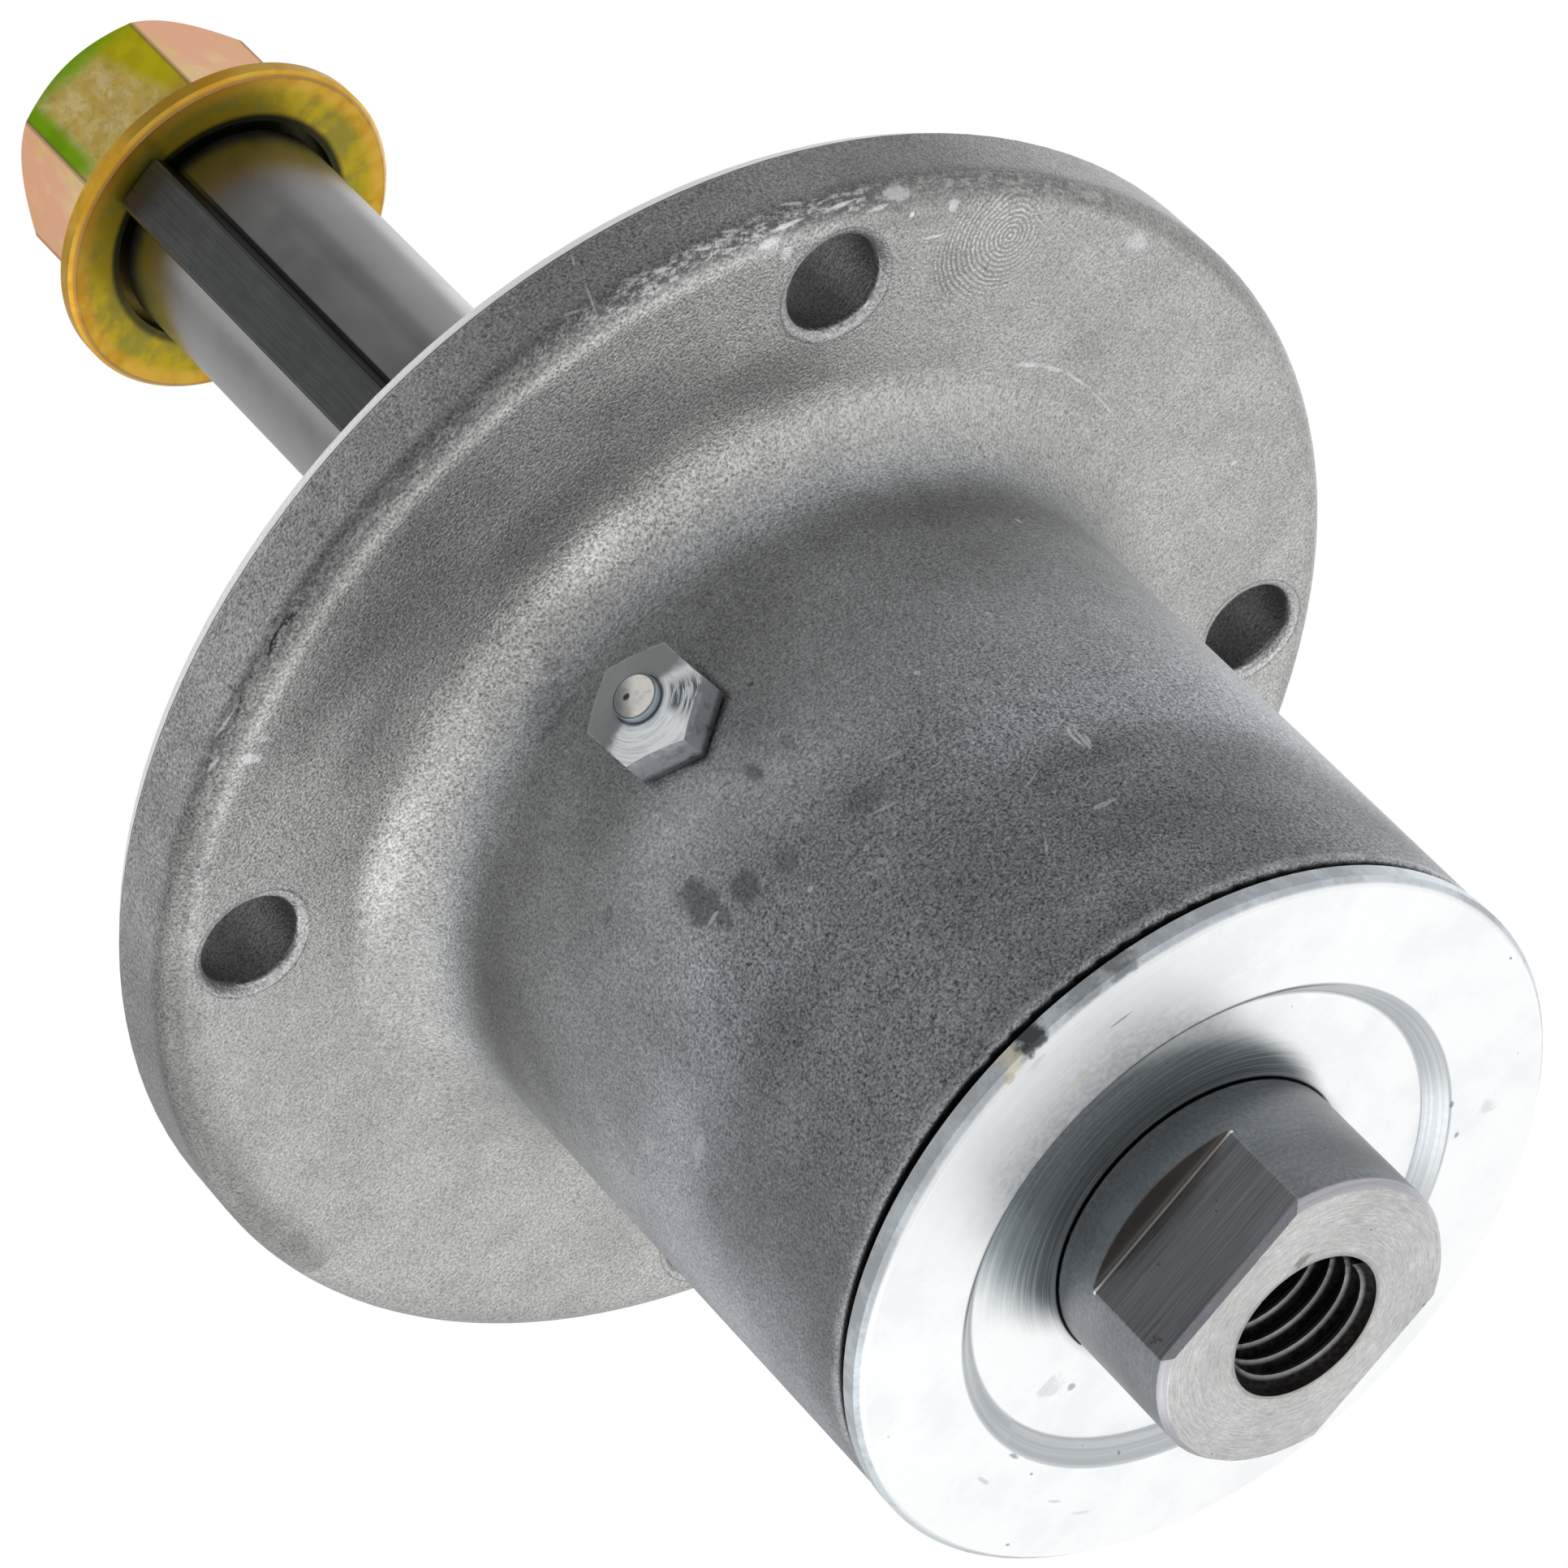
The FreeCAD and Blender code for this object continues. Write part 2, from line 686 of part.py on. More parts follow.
def make_valve_body():
    """Hexagon relief valve body with a coned top, a threaded shank and a spring chamber."""
    body = new_body("relief_valve_body")
    hexagon = new_sketch(body, "ValveHexProfile", "XY_Plane", "0", "ValveTurn")
    add_hexagon(hexagon, "ValveHexHalf")
    pad(body, "ValveHex", hexagon, "ValveHexHeight")
    corner = f"{valve_corner} + 0.3"
    revolve(body, "ValveCone", [
        ("ValveNeckRadius", "ValveHexHeight"),
        (corner, "ValveHexShoulder"),
        (corner, "ValveHexHeight + 0.1"),
        ("ValveNeckRadius", "ValveHexHeight + 0.1"),
    ], "PartDesign::Groove")
    shank = new_sketch(body, "ValveShankProfile", "XY_Plane")
    add_circle(shank, "0", "0", "ValveShankRadius")
    pad(body, "ValveShank", shank, "ValveShankLength").Reversed = True
    floor_top = "ValveFloor - ValveShankLength"
    revolve(body, "ValveBore", [
        ("0", "- ValveShankLength - 0.1"),
        ("ValveInletRadius", "- ValveShankLength - 0.1"),
        ("ValveInletRadius", floor_top),
        ("ValveChamberRadius", floor_top),
        ("ValveChamberRadius", "ValveChamberTop"),
        ("ValveStemRadius + ValveStemFit", "ValveChamberTop"),
        ("ValveStemRadius + ValveStemFit", "ValveHexHeight + 0.1"),
        ("0", "ValveHexHeight + 0.1"),
    ], "PartDesign::Groove")
    return stand_on_barrel(body)


def make_valve_poppet():
    """Relief valve stem: the button that shows outside, and the sealing disc inside."""
    disc_base = "ValveFloor - ValveShankLength + 0.02"
    button_base = "ValveHexHeight + ButtonGap"
    button_top = f"{button_base} + ButtonHeight"
    return stand_on_barrel(turned_piece("relief_valve_poppet", [
        ("0", disc_base),
        ("DiscRadius", disc_base),
        ("DiscRadius", f"{disc_base} + DiscThickness"),
        ("ValveStemRadius", f"{disc_base} + DiscThickness"),
        ("ValveStemRadius", button_base),
        ("ButtonRadius", button_base),
        ("ButtonRadius", f"{button_top} - ButtonEdge"),
        ("ButtonRadius - ButtonEdge", button_top),
        ("0", button_top),
    ]))


def make_valve_spring():
    """Coil spring round the stem, between the sealing disc and the chamber's roof."""
    foot = "ValveFloor - ValveShankLength + 0.02 + DiscThickness + SpringPlay + SpringWireRadius"
    roof = "ValveChamberTop - SpringSeatGap - SpringWireRadius"
    helix = doc.addObject("Part::Helix", "SpringLine")
    helix.setExpression("Pitch", bound(f"( ( {roof} ) - ( {foot} ) ) / SpringTurns"))
    helix.setExpression("Height", bound(f"( {roof} ) - ( {foot} )"))
    helix.setExpression("Radius", bound("SpringRadius"))
    helix.setExpression("Placement.Base.z", bound(foot))
    wire = doc.addObject("Part::Circle", "SpringWire")
    wire.Placement = FreeCAD.Placement(
        FreeCAD.Vector(0, 0, 0), FreeCAD.Rotation(FreeCAD.Vector(1, 0, 0), 90))
    wire.setExpression("Radius", bound("SpringWireRadius"))
    wire.setExpression("Placement.Base.x", bound("SpringRadius"))
    wire.setExpression("Placement.Base.z", bound(foot))
    spring = doc.addObject("Part::Sweep", "relief_valve_spring")
    spring.Label = "relief_valve_spring"
    spring.Sections = [wire]
    spring.Spine = (helix, ["Edge1"])
    spring.Solid = True
    spring.Frenet = True
    return stand_on_barrel(spring)


pieces = [make_housing(), make_shaft(), make_key(), make_lower_cap(), make_upper_cap()]
pieces += make_bearing("lower", lower_bearing_base, lower_bearing_base, "+")
pieces += make_bearing("upper", upper_bearing_base, upper_bearing_top, "-")
pieces += [make_spacer(), make_nut(), make_locking_ring()]
pieces += [make_valve_body(), make_valve_poppet(), make_valve_spring()]
doc.recompute()

for item in doc.Objects:
    if "Invalid" in item.State or "Error" in item.State:
        raise RuntimeError(f"{item.Label} did not build: {item.State}")
for piece in pieces:
    if piece.Shape.isNull() or not piece.Shape.isValid():
        raise RuntimeError(f"{piece.Label} has no valid shape")

os.makedirs("parts", exist_ok=True)
for piece in pieces:
    piece.Shape.exportStep(f"parts/{piece.Label}.step")
    solids = len(piece.Shape.Solids)
    print(f"{piece.Label}: {solids} solid(s), {piece.Shape.Volume / 1000:.2f} cubic centimetres")
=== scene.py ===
import bpy, bmesh, math
from mathutils import Matrix, Vector


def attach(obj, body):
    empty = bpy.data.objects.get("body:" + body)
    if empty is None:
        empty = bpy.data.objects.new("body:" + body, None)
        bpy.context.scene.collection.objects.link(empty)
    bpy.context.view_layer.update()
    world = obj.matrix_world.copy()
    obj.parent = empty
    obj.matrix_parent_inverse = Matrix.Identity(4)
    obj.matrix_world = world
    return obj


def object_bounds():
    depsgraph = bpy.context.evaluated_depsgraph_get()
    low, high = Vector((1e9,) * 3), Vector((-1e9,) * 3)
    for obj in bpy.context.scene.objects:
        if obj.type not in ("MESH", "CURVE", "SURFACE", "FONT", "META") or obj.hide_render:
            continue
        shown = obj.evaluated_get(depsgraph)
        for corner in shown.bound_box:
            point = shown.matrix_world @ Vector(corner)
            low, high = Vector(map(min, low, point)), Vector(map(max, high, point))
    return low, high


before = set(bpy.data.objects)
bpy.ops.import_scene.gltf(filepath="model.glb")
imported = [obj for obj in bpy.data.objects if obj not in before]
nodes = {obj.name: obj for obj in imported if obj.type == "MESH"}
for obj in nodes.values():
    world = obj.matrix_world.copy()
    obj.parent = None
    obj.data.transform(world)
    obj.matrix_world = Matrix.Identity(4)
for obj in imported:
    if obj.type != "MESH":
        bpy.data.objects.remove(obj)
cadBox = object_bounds()
mm = 0.001
print("frame loaded:", len(nodes), "nodes")


# a wire carries a shader value, and sums on it add Math nodes
class Wire:
    def __init__(self, tree, socket):
        self.tree = tree
        self.socket = socket

    def maths(self, operation, first, second=None, third=None):
        node = self.tree.nodes.new("ShaderNodeMath")
        node.operation = operation
        for slot, value in zip(node.inputs, (first, second, third)):
            if isinstance(value, Wire):
                self.tree.links.new(value.socket, slot)
            elif value is not None:
                slot.default_value = value
        return Wire(self.tree, node.outputs[0])

    def __add__(self, other):
        return self.maths("ADD", self, other)

    def __radd__(self, other):
        return self.maths("ADD", other, self)

    def __sub__(self, other):
        return self.maths("SUBTRACT", self, other)

    def __rsub__(self, other):
        return self.maths("SUBTRACT", other, self)

    def __mul__(self, other):
        return self.maths("MULTIPLY", self, other)

    def __rmul__(self, other):
        return self.maths("MULTIPLY", other, self)

    def __pow__(self, other):
        return self.maths("POWER", self, other)

    def __abs__(self):
        return self.maths("ABSOLUTE", self)


# a finish is one material, measured in millimetres from the spindle's axis
class Finish:
    def __init__(self, name, **values):
        self.material = bpy.data.materials.new(name)
        self.material.use_nodes = True
        self.tree = self.material.node_tree
        self.shader = self.tree.nodes["Principled BSDF"]
        for socket, value in values.items():
            self.shader.inputs[socket.replace("_", " ")].default_value = value

    def node(self, kind, settings=None, output=0, **inputs):
        made = self.tree.nodes.new(kind)
        for name, value in (settings or {}).items():
            setattr(made, name, value)
        for name, value in inputs.items():
            numbered = name[0] == "i" and name[1:].isdigit()
            slot = made.inputs[int(name[1:])] if numbered else made.inputs[name.replace("_", " ")]
            if isinstance(value, Wire):
                self.tree.links.new(value.socket, slot)
            else:
                slot.default_value = value
        return Wire(self.tree, made.outputs[output])

    def survey(self, marked=False):
        # the place in millimetres, and its x, y, z, radius and angle in degrees
        metres = self.node("ShaderNodeTexCoord", output="Object")
        self.here = self.node("ShaderNodeMapping", Vector=metres, Scale=(1000, 1000, 1000))
        split = self.tree.nodes.new("ShaderNodeSeparateXYZ")
        self.tree.links.new(self.here.socket, split.inputs[0])
        self.x, self.y, self.z = [Wire(self.tree, out) for out in split.outputs]
        self.radius = (self.x * self.x + self.y * self.y) ** 0.5
        self.angle = self.y.maths("ARCTAN2", self.y, self.x) * math.degrees(1)
        if marked:
            self.wobble = self.noise(self.here, 0.9, 3, 0.6) - 0.5  # unevenness of the marks' edges
        return self

    def vector(self, x, y, z=1.0):
        return self.node("ShaderNodeCombineXYZ", X=x, Y=y, Z=z)

    def noise(self, vector, scale, detail, roughness):
        return self.node("ShaderNodeTexNoise", Vector=vector, Scale=scale, Detail=detail, Roughness=roughness)

    def span(self, value, low, high, outLow=0.0, outHigh=1.0):
        # a value from low to high becomes outLow to outHigh, clamped, with soft ends
        return self.node("ShaderNodeMapRange", {"interpolation_type": "SMOOTHSTEP"}, Value=value,
                         From_Min=low, From_Max=high, To_Min=outLow, To_Max=outHigh)

    def band(self, value, low, high, soft):
        # 1 between low and high, falling to 0 over the soft width
        middle, half = (low + high) / 2, (high - low) / 2
        return self.span(abs(value - middle), half - soft / 2, half + soft / 2, 1.0, 0.0)

    def spot(self, plane, centre, size, ragged=0.0, inner=0.55, turn=0.0, strength=1.0, outside=0.0):
        # an oval mark on a flat map of the surface, its edge broken by the grain
        cosine, sine = math.cos(turn), math.sin(turn)
        reach = None
        for (run, rise), half in zip(((cosine, sine), (-sine, cosine)), size):
            axis = (run / half, rise / half, -(centre[0] * run + centre[1] * rise) / half)
            along = self.node("ShaderNodeVectorMath", {"operation": "DOT_PRODUCT"}, output="Value",
                              i0=plane, i1=axis)
            reach = along * along if reach is None else along.maths("MULTIPLY_ADD", along, along, reach)
        reach = reach.maths("SQRT", reach)
        if ragged:
            reach = reach.maths("MULTIPLY_ADD", self.wobble, ragged, reach)
        return self.span(reach, inner, 1.0, strength, outside)

    def stroke(self, plane, start, end, width, strength=1.0):
        # a fine straight scratch, thin at both ends
        run, rise = end[0] - start[0], end[1] - start[1]
        middle = ((start[0] + end[0]) / 2, (start[1] + end[1]) / 2)
        size = (math.hypot(run, rise) * 0.6, width * 0.75)
        return self.spot(plane, middle, size, 0.9, 0.35, math.atan2(rise, run), strength)

    def combine(self, operation, wires):
        # takes the marks one by one as they are made, so that few values wait at a time
        found = None
        for wire in wires:
            found = wire if found is None else found.maths(operation, found, wire)
        return found

    def hexagon(self, u, v, firstFlat):
        # distance out from the middle of a hexagon, measured square to its nearest side
        reach = None
        for side in range(3):
            turn = math.radians(firstFlat + 60 * side)
            across = abs(u * math.cos(turn) + v * math.sin(turn))
            reach = across if reach is None else self.either(reach, across)
        return reach

    def either(self, first, second):
        return first.maths("MAXIMUM", first, second)

    def mix(self, factor, first, second, blend="MIX"):
        return self.node("ShaderNodeMix", {"data_type": "RGBA", "blend_type": blend}, output=2,
                         i0=factor, i6=first, i7=second)

    def toned(self, colour, tone):
        return self.mix(1.0, colour, self.vector(tone, tone, tone), "MULTIPLY")

    def bump(self, height, strength, distance, under=None):
        inputs = {"Height": height, "Strength": strength, "Distance": distance * mm}
        if under is not None:
            inputs["Normal"] = under
        return self.node("ShaderNodeBump", **inputs)

    def feed(self, **wires):
        for socket, wire in wires.items():
            self.tree.links.new(wire.socket, self.shader.inputs[socket.replace("_", " ")])


def grey(level, tint=0.0):
    # a plain grey, bluish where tint is above 0 and warm below it
    return (level * (1 - tint), level, level * (1 + tint), 1)


def paint(finish, *names):
    for name in names:
        for slot in nodes[name].material_slots:
            slot.material = finish.material


# places that several finishes share: the relief valve's axis and the key's side of the shaft
valveHeight = -29.5
keyTurn = math.radians(-7.65)

# camera at the photograph's viewing angle
camera = dict(azimuth=94.35, elevation=39.006, roll=-44.524, distance=739.892,
              aim=(0.278, 6.468, -7.936), lens=171.177)


def makeCamera():
    azimuth, elevation = math.radians(camera["azimuth"]), math.radians(camera["elevation"])
    look = Vector((math.cos(azimuth) * math.cos(elevation), math.sin(azimuth) * math.cos(elevation),
                   math.sin(elevation)))
    data = bpy.data.cameras.new("camera")
    data.lens = camera["lens"]
    data.sensor_width = 36
    data.clip_start = 0.01
    data.clip_end = 50
    holder = bpy.data.objects.new("camera", data)
    bpy.context.scene.collection.objects.link(holder)
    level = look.to_track_quat("-Z", "Y").to_matrix()
    turned = level @ Matrix.Rotation(math.radians(camera["roll"]), 3, "Z")
    place = (Vector(camera["aim"]) - look * camera["distance"]) * mm
    holder.matrix_world = Matrix.Translation(place) @ turned.to_4x4()
    bpy.context.scene.camera = holder


makeCamera()
print("camera set")


# light, floor and background
# shades are the studio's unlit parts: the way they lie, the cosines where they start and end, their level
studio = dict(worldLevel=0.75, floorLevel=0.80, upperLevel=0.62, lampAim=(0, 0, -0.03),
              shades=[((-0.06, -0.76, 0.65), 0.25, 0.90, 0.37), ((0.06, -0.775, -0.629), 0.50, 0.95, 0.75)])


def makeWorld():
    world = bpy.data.worlds.new("studio")
    bpy.context.scene.world = world
    world.use_nodes = True
    tree = world.node_tree
    background = tree.nodes["Background"]
    background.inputs["Color"].default_value = (1, 1, 1, 1)
    path = tree.nodes.new("ShaderNodeLightPath")
    seen, glossy, clear = [Wire(tree, path.outputs[name]) for name in
                           ("Is Camera Ray", "Is Glossy Ray", "Is Transmission Ray")]
    # polished metal shows the unlit parts of the studio as its dark reflections
    way = tree.nodes.new("ShaderNodeTexCoord")
    split = tree.nodes.new("ShaderNodeSeparateXYZ")
    tree.links.new(way.outputs["Generated"], split.inputs[0])

    def fall(socket, start, stop, last):
        ramp = tree.nodes.new("ShaderNodeMapRange")
        ramp.interpolation_type = "SMOOTHSTEP"
        tree.links.new(socket, ramp.inputs["Value"])
        for name, value in (("From Min", start), ("From Max", stop), ("To Min", 1.0), ("To Max", last)):
            ramp.inputs[name].default_value = value
        return Wire(tree, ramp.outputs[0])

    mirrored = fall(split.outputs["Z"], -0.15, 0.35, studio["upperLevel"])
    for heading, start, stop, last in studio["shades"]:
        facing = tree.nodes.new("ShaderNodeVectorMath")
        facing.operation = "DOT_PRODUCT"
        tree.links.new(way.outputs["Generated"], facing.inputs[0])
        facing.inputs[1].default_value = Vector(heading).normalized()
        mirrored = mirrored * fall(facing.outputs["Value"], start, stop, last)
    level = studio["worldLevel"]
    plain = seen.maths("MINIMUM", seen + clear, 1.0)
    strength = plain + (1 - plain) * (glossy * mirrored + (1 - glossy) * level)
    tree.links.new(strength.socket, background.inputs["Strength"])


def makeLamp(name, place, size, power):
    data = bpy.data.lights.new(name, "AREA")
    data.shape = "RECTANGLE"
    data.size, data.size_y = size
    data.energy = power
    lamp = bpy.data.objects.new(name, data)
    lamp.location = place
    lamp.rotation_mode = "QUATERNION"
    lamp.rotation_quaternion = (Vector(studio["lampAim"]) - Vector(place)).to_track_quat("-Z", "Y")
    bpy.context.scene.collection.objects.link(lamp)


def makeFloor():
    mesh = bmesh.new()
    bmesh.ops.create_grid(mesh, x_segments=2, y_segments=2, size=3.0)
    bmesh.ops.translate(mesh, verts=mesh.verts, vec=(0, 0, cadBox[0].z - 0.2 * mm))
    data = bpy.data.meshes.new("floor")
    mesh.to_mesh(data)
    mesh.free()
    floor = bpy.data.objects.new("floor", data)
    bpy.context.scene.collection.objects.link(floor)
    finish = Finish("floor", Base_Color=(studio["floorLevel"],) * 3 + (1,), Roughness=0.9)
    # seen from below the floor is clear, so that it never hides the part
    below = finish.node("ShaderNodeNewGeometry", output="Backfacing")
    clear = finish.node("ShaderNodeBsdfTransparent")
    surface = finish.node("ShaderNodeMixShader", i0=below, i2=clear,
                          i1=Wire(finish.tree, finish.shader.outputs[0]))
    finish.tree.links.new(surface.socket, finish.tree.nodes["Material Output"].inputs["Surface"])
    data.materials.append(finish.material)
    floor.visible_shadow = False
    floor.visible_diffuse = False
    floor.visible_glossy = False


makeWorld()
makeFloor()
makeLamp("lampBelow", (0.05, 0.10, -1.00), (0.9, 0.9), 3.0)
makeLamp("lampLeft", (-0.95, 0.15, -0.35), (0.6, 0.9), 1.6)
makeLamp("lampTop", (-0.35, -0.45, 1.05), (0.9, 0.9), 2.0)
makeLamp("lampBack", (0.55, 0.95, 0.55), (0.9, 0.9), 2.0)
print("stage and lamps set")


# thread in the blade-bolt hole: a ridge wound up the bore
bladeThread = dict(bore=7.97, crest=6.95, pitch=2.309, foot=1.0, tip=0.16, turns=14.5, start=-99.95,
                   steps=40)


def makeBladeThread():
    d = bladeThread
    mesh = bmesh.new()
    outline = [(d["bore"], -d["foot"]), (d["crest"], -d["tip"]), (d["crest"], d["tip"]),
               (d["bore"], d["foot"])]
    ring = [mesh.verts.new((r * mm, 0, (d["start"] + h) * mm)) for r, h in outline]
    sides = [mesh.edges.new((ring[i], ring[(i + 1) % 4])) for i in range(4)]
    steps = int(d["steps"] * d["turns"])
    made = bmesh.ops.spin(mesh, geom=ring + sides, cent=(0, 0, 0), axis=(0, 0, 1),
                          dvec=(0, 0, d["pitch"] * d["turns"] * mm / steps),
                          angle=2 * math.pi * d["turns"], steps=steps, use_merge=False)
    mesh.faces.new(ring)
    mesh.faces.new([v for v in made["geom_last"] if isinstance(v, bmesh.types.BMVert)])
    bmesh.ops.recalc_face_normals(mesh, faces=mesh.faces)
    data = bpy.data.meshes.new("blade_bolt_thread")
    mesh.to_mesh(data)
    mesh.free()
    piece = bpy.data.objects.new("blade_bolt_thread", data)
    bpy.context.scene.collection.objects.link(piece)
    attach(piece, "spindle")
    return piece


thread = makeBladeThread()
print("blade-bolt thread wound")


# cast housing: blasted grey casting, machined lip, back and seats, handling marks
casting = dict(face=(0.41, 0.407, 0.398, 1), barrel=(0.405, 0.412, 0.423, 1), rim=(0.39, 0.39, 0.395, 1),
               bore=(0.20, 0.20, 0.198, 1), mouth=(0.46, 0.46, 0.47, 1), low=(0.385, 0.403, 0.432, 1),
               machined=(0.97, 0.98, 0.98, 1), pale=(0.76, 0.77, 0.79, 1), dark=(0.12, 0.125, 0.135, 1),
               pit=(0.02, 0.02, 0.02, 1), barrelRadius=38.9, rimRadius=67.5, boltCircle=58.75,
               firstHole=43.35, flareFoot=(39.6, 42.0), shadedLowerPart=(-36, -56), frontFace=(-9.5, -10.5),
               holeWall=(5.55, 5.3), holeMouth=(5.45, 6.15), holeHighlightRing=(5.22, 5.42), holeShade=(6.15, 6.38),
               edgeRadius=64.7, edgeHeight=-11.8, printCentre=(54.9, -29.3), printMiddle=(61.0, -30.4),
               printPitch=12.0, boreWall=(31.1, 31.3), endFace=(31.5, 31.6), capGap=(-82.3, -82.6),
               backFace=(-1.95, -1.80), sandGrain=1.9)

# marks on the barrel: angle in degrees, height in mm, half sizes in mm, strength
barrelStains = [(-104.2, -46.1, 2.3, 3.6, 0.63), (-103.2, -48.6, 1.2, 2.6, 0.55),
                (-98.0, -49.3, 2.1, 2.3, 0.58), (-91.5, -51.1, 1.7, 1.9, 0.4),
                (-86.4, -41.1, 1.0, 1.6, 0.55), (-80.3, -41.4, 0.8, 1.4, 0.4),
                (-78.4, -52.1, 2.4, 2.2, 0.35), (-115.6, -37.0, 1.3, 0.9, 0.3),
                (-88.0, -51.0, 0.5, 0.5, 0.4), (-78.2, -33.2, 0.4, 0.35, 0.8),
                (-99.7, -17.0, 2.6, 1.6, 0.35), (-95.4, -15.6, 1.6, 0.9, 0.45),
                (-100.5, -19.0, 3.4, 1.0, 0.3)]
barrelFlecks = [(-60.4, -43.3, 0.3, 0.3, 0.8), (-54.6, -67.7, 1.6, 0.3, 0.45),
                (-132.7, -58.4, 2.0, 0.9, 0.35), (-139.8, -51.0, 1.6, 0.7, 0.3),
                (-86.5, -48.7, 0.4, 0.4, 0.7), (-91.8, -55.3, 0.32, 0.32, 1.0),
                (-82.6, -56.6, 0.4, 0.3, 0.6), (-82.5, -58.8, 0.4, 0.4, 0.6),
                (-104.5, -48.4, 0.8, 0.25, 0.8)]
# start and end as angle and height, width, strength
barrelScratches = [((-79.7, -54.0), (-74.9, -54.9), 0.25, 0.8), ((-76.2, -53.0), (-78.0, -57.6), 0.2, 0.5),
                   ((-84.0, -62.0), (-81.5, -58.5), 0.2, 0.5), ((-62.0, -62.0), (-57.5, -60.5), 0.22, 0.5),
                   ((-66.0, -70.0), (-64.0, -67.5), 0.22, 0.45), ((-85.4, -58.0), (-84.0, -60.2), 0.22, 0.6),
                   ((-72.0, -44.0), (-66.0, -42.0), 0.16, 0.3), ((-60.0, -50.0), (-54.0, -47.5), 0.16, 0.3),
                   ((-24.9, -25.2), (-24.0, -25.9), 0.45, 1.0), ((-45.3, -39.4), (-44.7, -39.9), 0.35, 0.7),
                   ((-49.6, -57.1), (-50.4, -58.4), 0.32, 0.8), ((-50.4, -57.6), (-50.0, -60.2), 0.32, 0.8),
                   ((-49.2, -57.6), (-49.5, -61.0), 0.3, 0.7), ((-48.5, -58.6), (-49.0, -60.4), 0.3, 0.6),
                   ((-73.8, -49.8), (-69.2, -50.5), 0.28, 0.6), ((-79.5, -44.7), (-74.3, -45.0), 0.28, 0.6)]


# painted light and shade on the barrel, in soft lighter and darker areas: height, angle, half height, half
# width, gain
barrelLightAndShade = [(-43, -108, 13, 15, 0.48), (-44, -78, 9, 11, 0.50), (-54, -142, 9, 24, 0.34),
               (-70, -112, 15, 26, -0.25), (-76, -130, 8, 22, -0.26), (-74, -36, 17, 22, -0.42),
               (-68, -72, 14, 16, -0.16), (-31, -40, 13, 18, -0.32), (-27, -74, 9, 14, -0.26),
               (-29, -146, 11, 18, -0.34), (-70, -54, 13, 14, -0.34), (-75, -12, 14, 13, -0.44),
               (-81, -95, 7, 38, -0.22), (-66, -134, 12, 12, -0.24), (-23, -36, 7, 30, -0.40),
               (-23, -146, 7, 30, -0.42), (-43, -89, 9, 9, 0.36), (-62, -160, 10, 12, 0.32),
               (-44, -160, 12, 9, 0.16), (-37, -99, 8, 12, 0.50), (-61, -50, 5, 16, -0.40),
               (-81, -142, 6, 22, -0.3), (-81, -44, 5, 26, -0.26), (-65, -26, 8, 16, -0.38),
               (-62, -110, 7, 16, -0.24), (-81, -64, 5, 9, -0.24), (-45, -150, 6, 8, 0.24),
               (-50, -112, 5, 6, 0.22)]
# painted light and shade on the flange, as on the barrel: radius, angle, half width, half angle, gain
flangeLightAndShade = [(58, -101, 12, 15, -0.34), (51, -80, 5, 28, -0.30), (50, -52, 5, 12, -0.28),
               (44, -82, 3, 14, 0.5), (63, -92, 4, 9, -0.2), (46, -140, 3, 22, 0.2), (60, -90, 12, 34, -0.28),
               (66, -166, 4, 34, -0.40), (66, -40, 3, 16, -0.25), (45, -130, 4, 16, 0.48),
               (52, -112, 4, 12, -0.28), (60, -112, 5, 10, -0.24), (52, -60, 4, 14, -0.24),
               (66, -142, 3, 10, -0.26), (63, -118, 3, 14, -0.18), (56, -70, 5, 12, -0.26)]
# scuffs and scratches on the rim and its rounding: start and end as angle and height, width, strength
rimScratches = [((-67.5, -2.6), (-68.1, -4.4), 0.22, 0.6), ((-68.5, -6.9), (-69.4, -10.1), 0.22, 0.7),
                ((-62.0, -4.7), (-60.9, -4.5), 0.2, 0.5), ((-59.2, -6.3), (-58.3, -5.9), 0.25, 0.5),
                ((-113.6, -3.3), (-110.5, -4.2), 0.25, 0.5), ((-110.8, -3.9), (-106.8, -5.0), 0.18, 0.35),
                ((-64.3, -9.6), (-62.0, -10.4), 0.3, 0.7), ((-60.2, -9.7), (-58.2, -10.4), 0.3, 0.7),
                ((-57.2, -9.3), (-55.6, -9.9), 0.3, 0.7), ((-51.5, -8.8), (-49.3, -9.6), 0.4, 0.6),
                ((-115.6, -9.3), (-112.5, -9.9), 0.3, 0.8), ((-118.6, -9.9), (-116.6, -10.4), 0.35, 0.7),
                ((-71.8, -8.6), (-69.9, -9.4), 0.35, 0.6), ((-66.4, -8.9), (-65.2, -9.5), 0.35, 0.5),
                ((-53.7, -11.0), (-50.2, -10.8), 0.3, 0.8), ((-48.2, -10.8), (-45.5, -10.6), 0.28, 0.8),
                ((-55.0, -11.5), (-52.4, -11.4), 0.4, 0.6)]
# scratches on the flange's front: start and end as radius and angle, width, strength
faceScratches = [((66.0, -44.5), (66.4, -41.8), 0.3, 0.5), ((62.0, -38.4), (62.5, -35.3), 0.28, 0.6),
                 ((48.8, -18.9), (49.7, -15.0), 0.5, 0.6), ((49.6, -15.2), (49.95, -10.8), 0.42, 0.5),
                 ((49.95, -11.0), (49.8, -6.0), 0.32, 0.45), ((49.8, -6.2), (49.2, 2.3), 0.25, 0.35)]
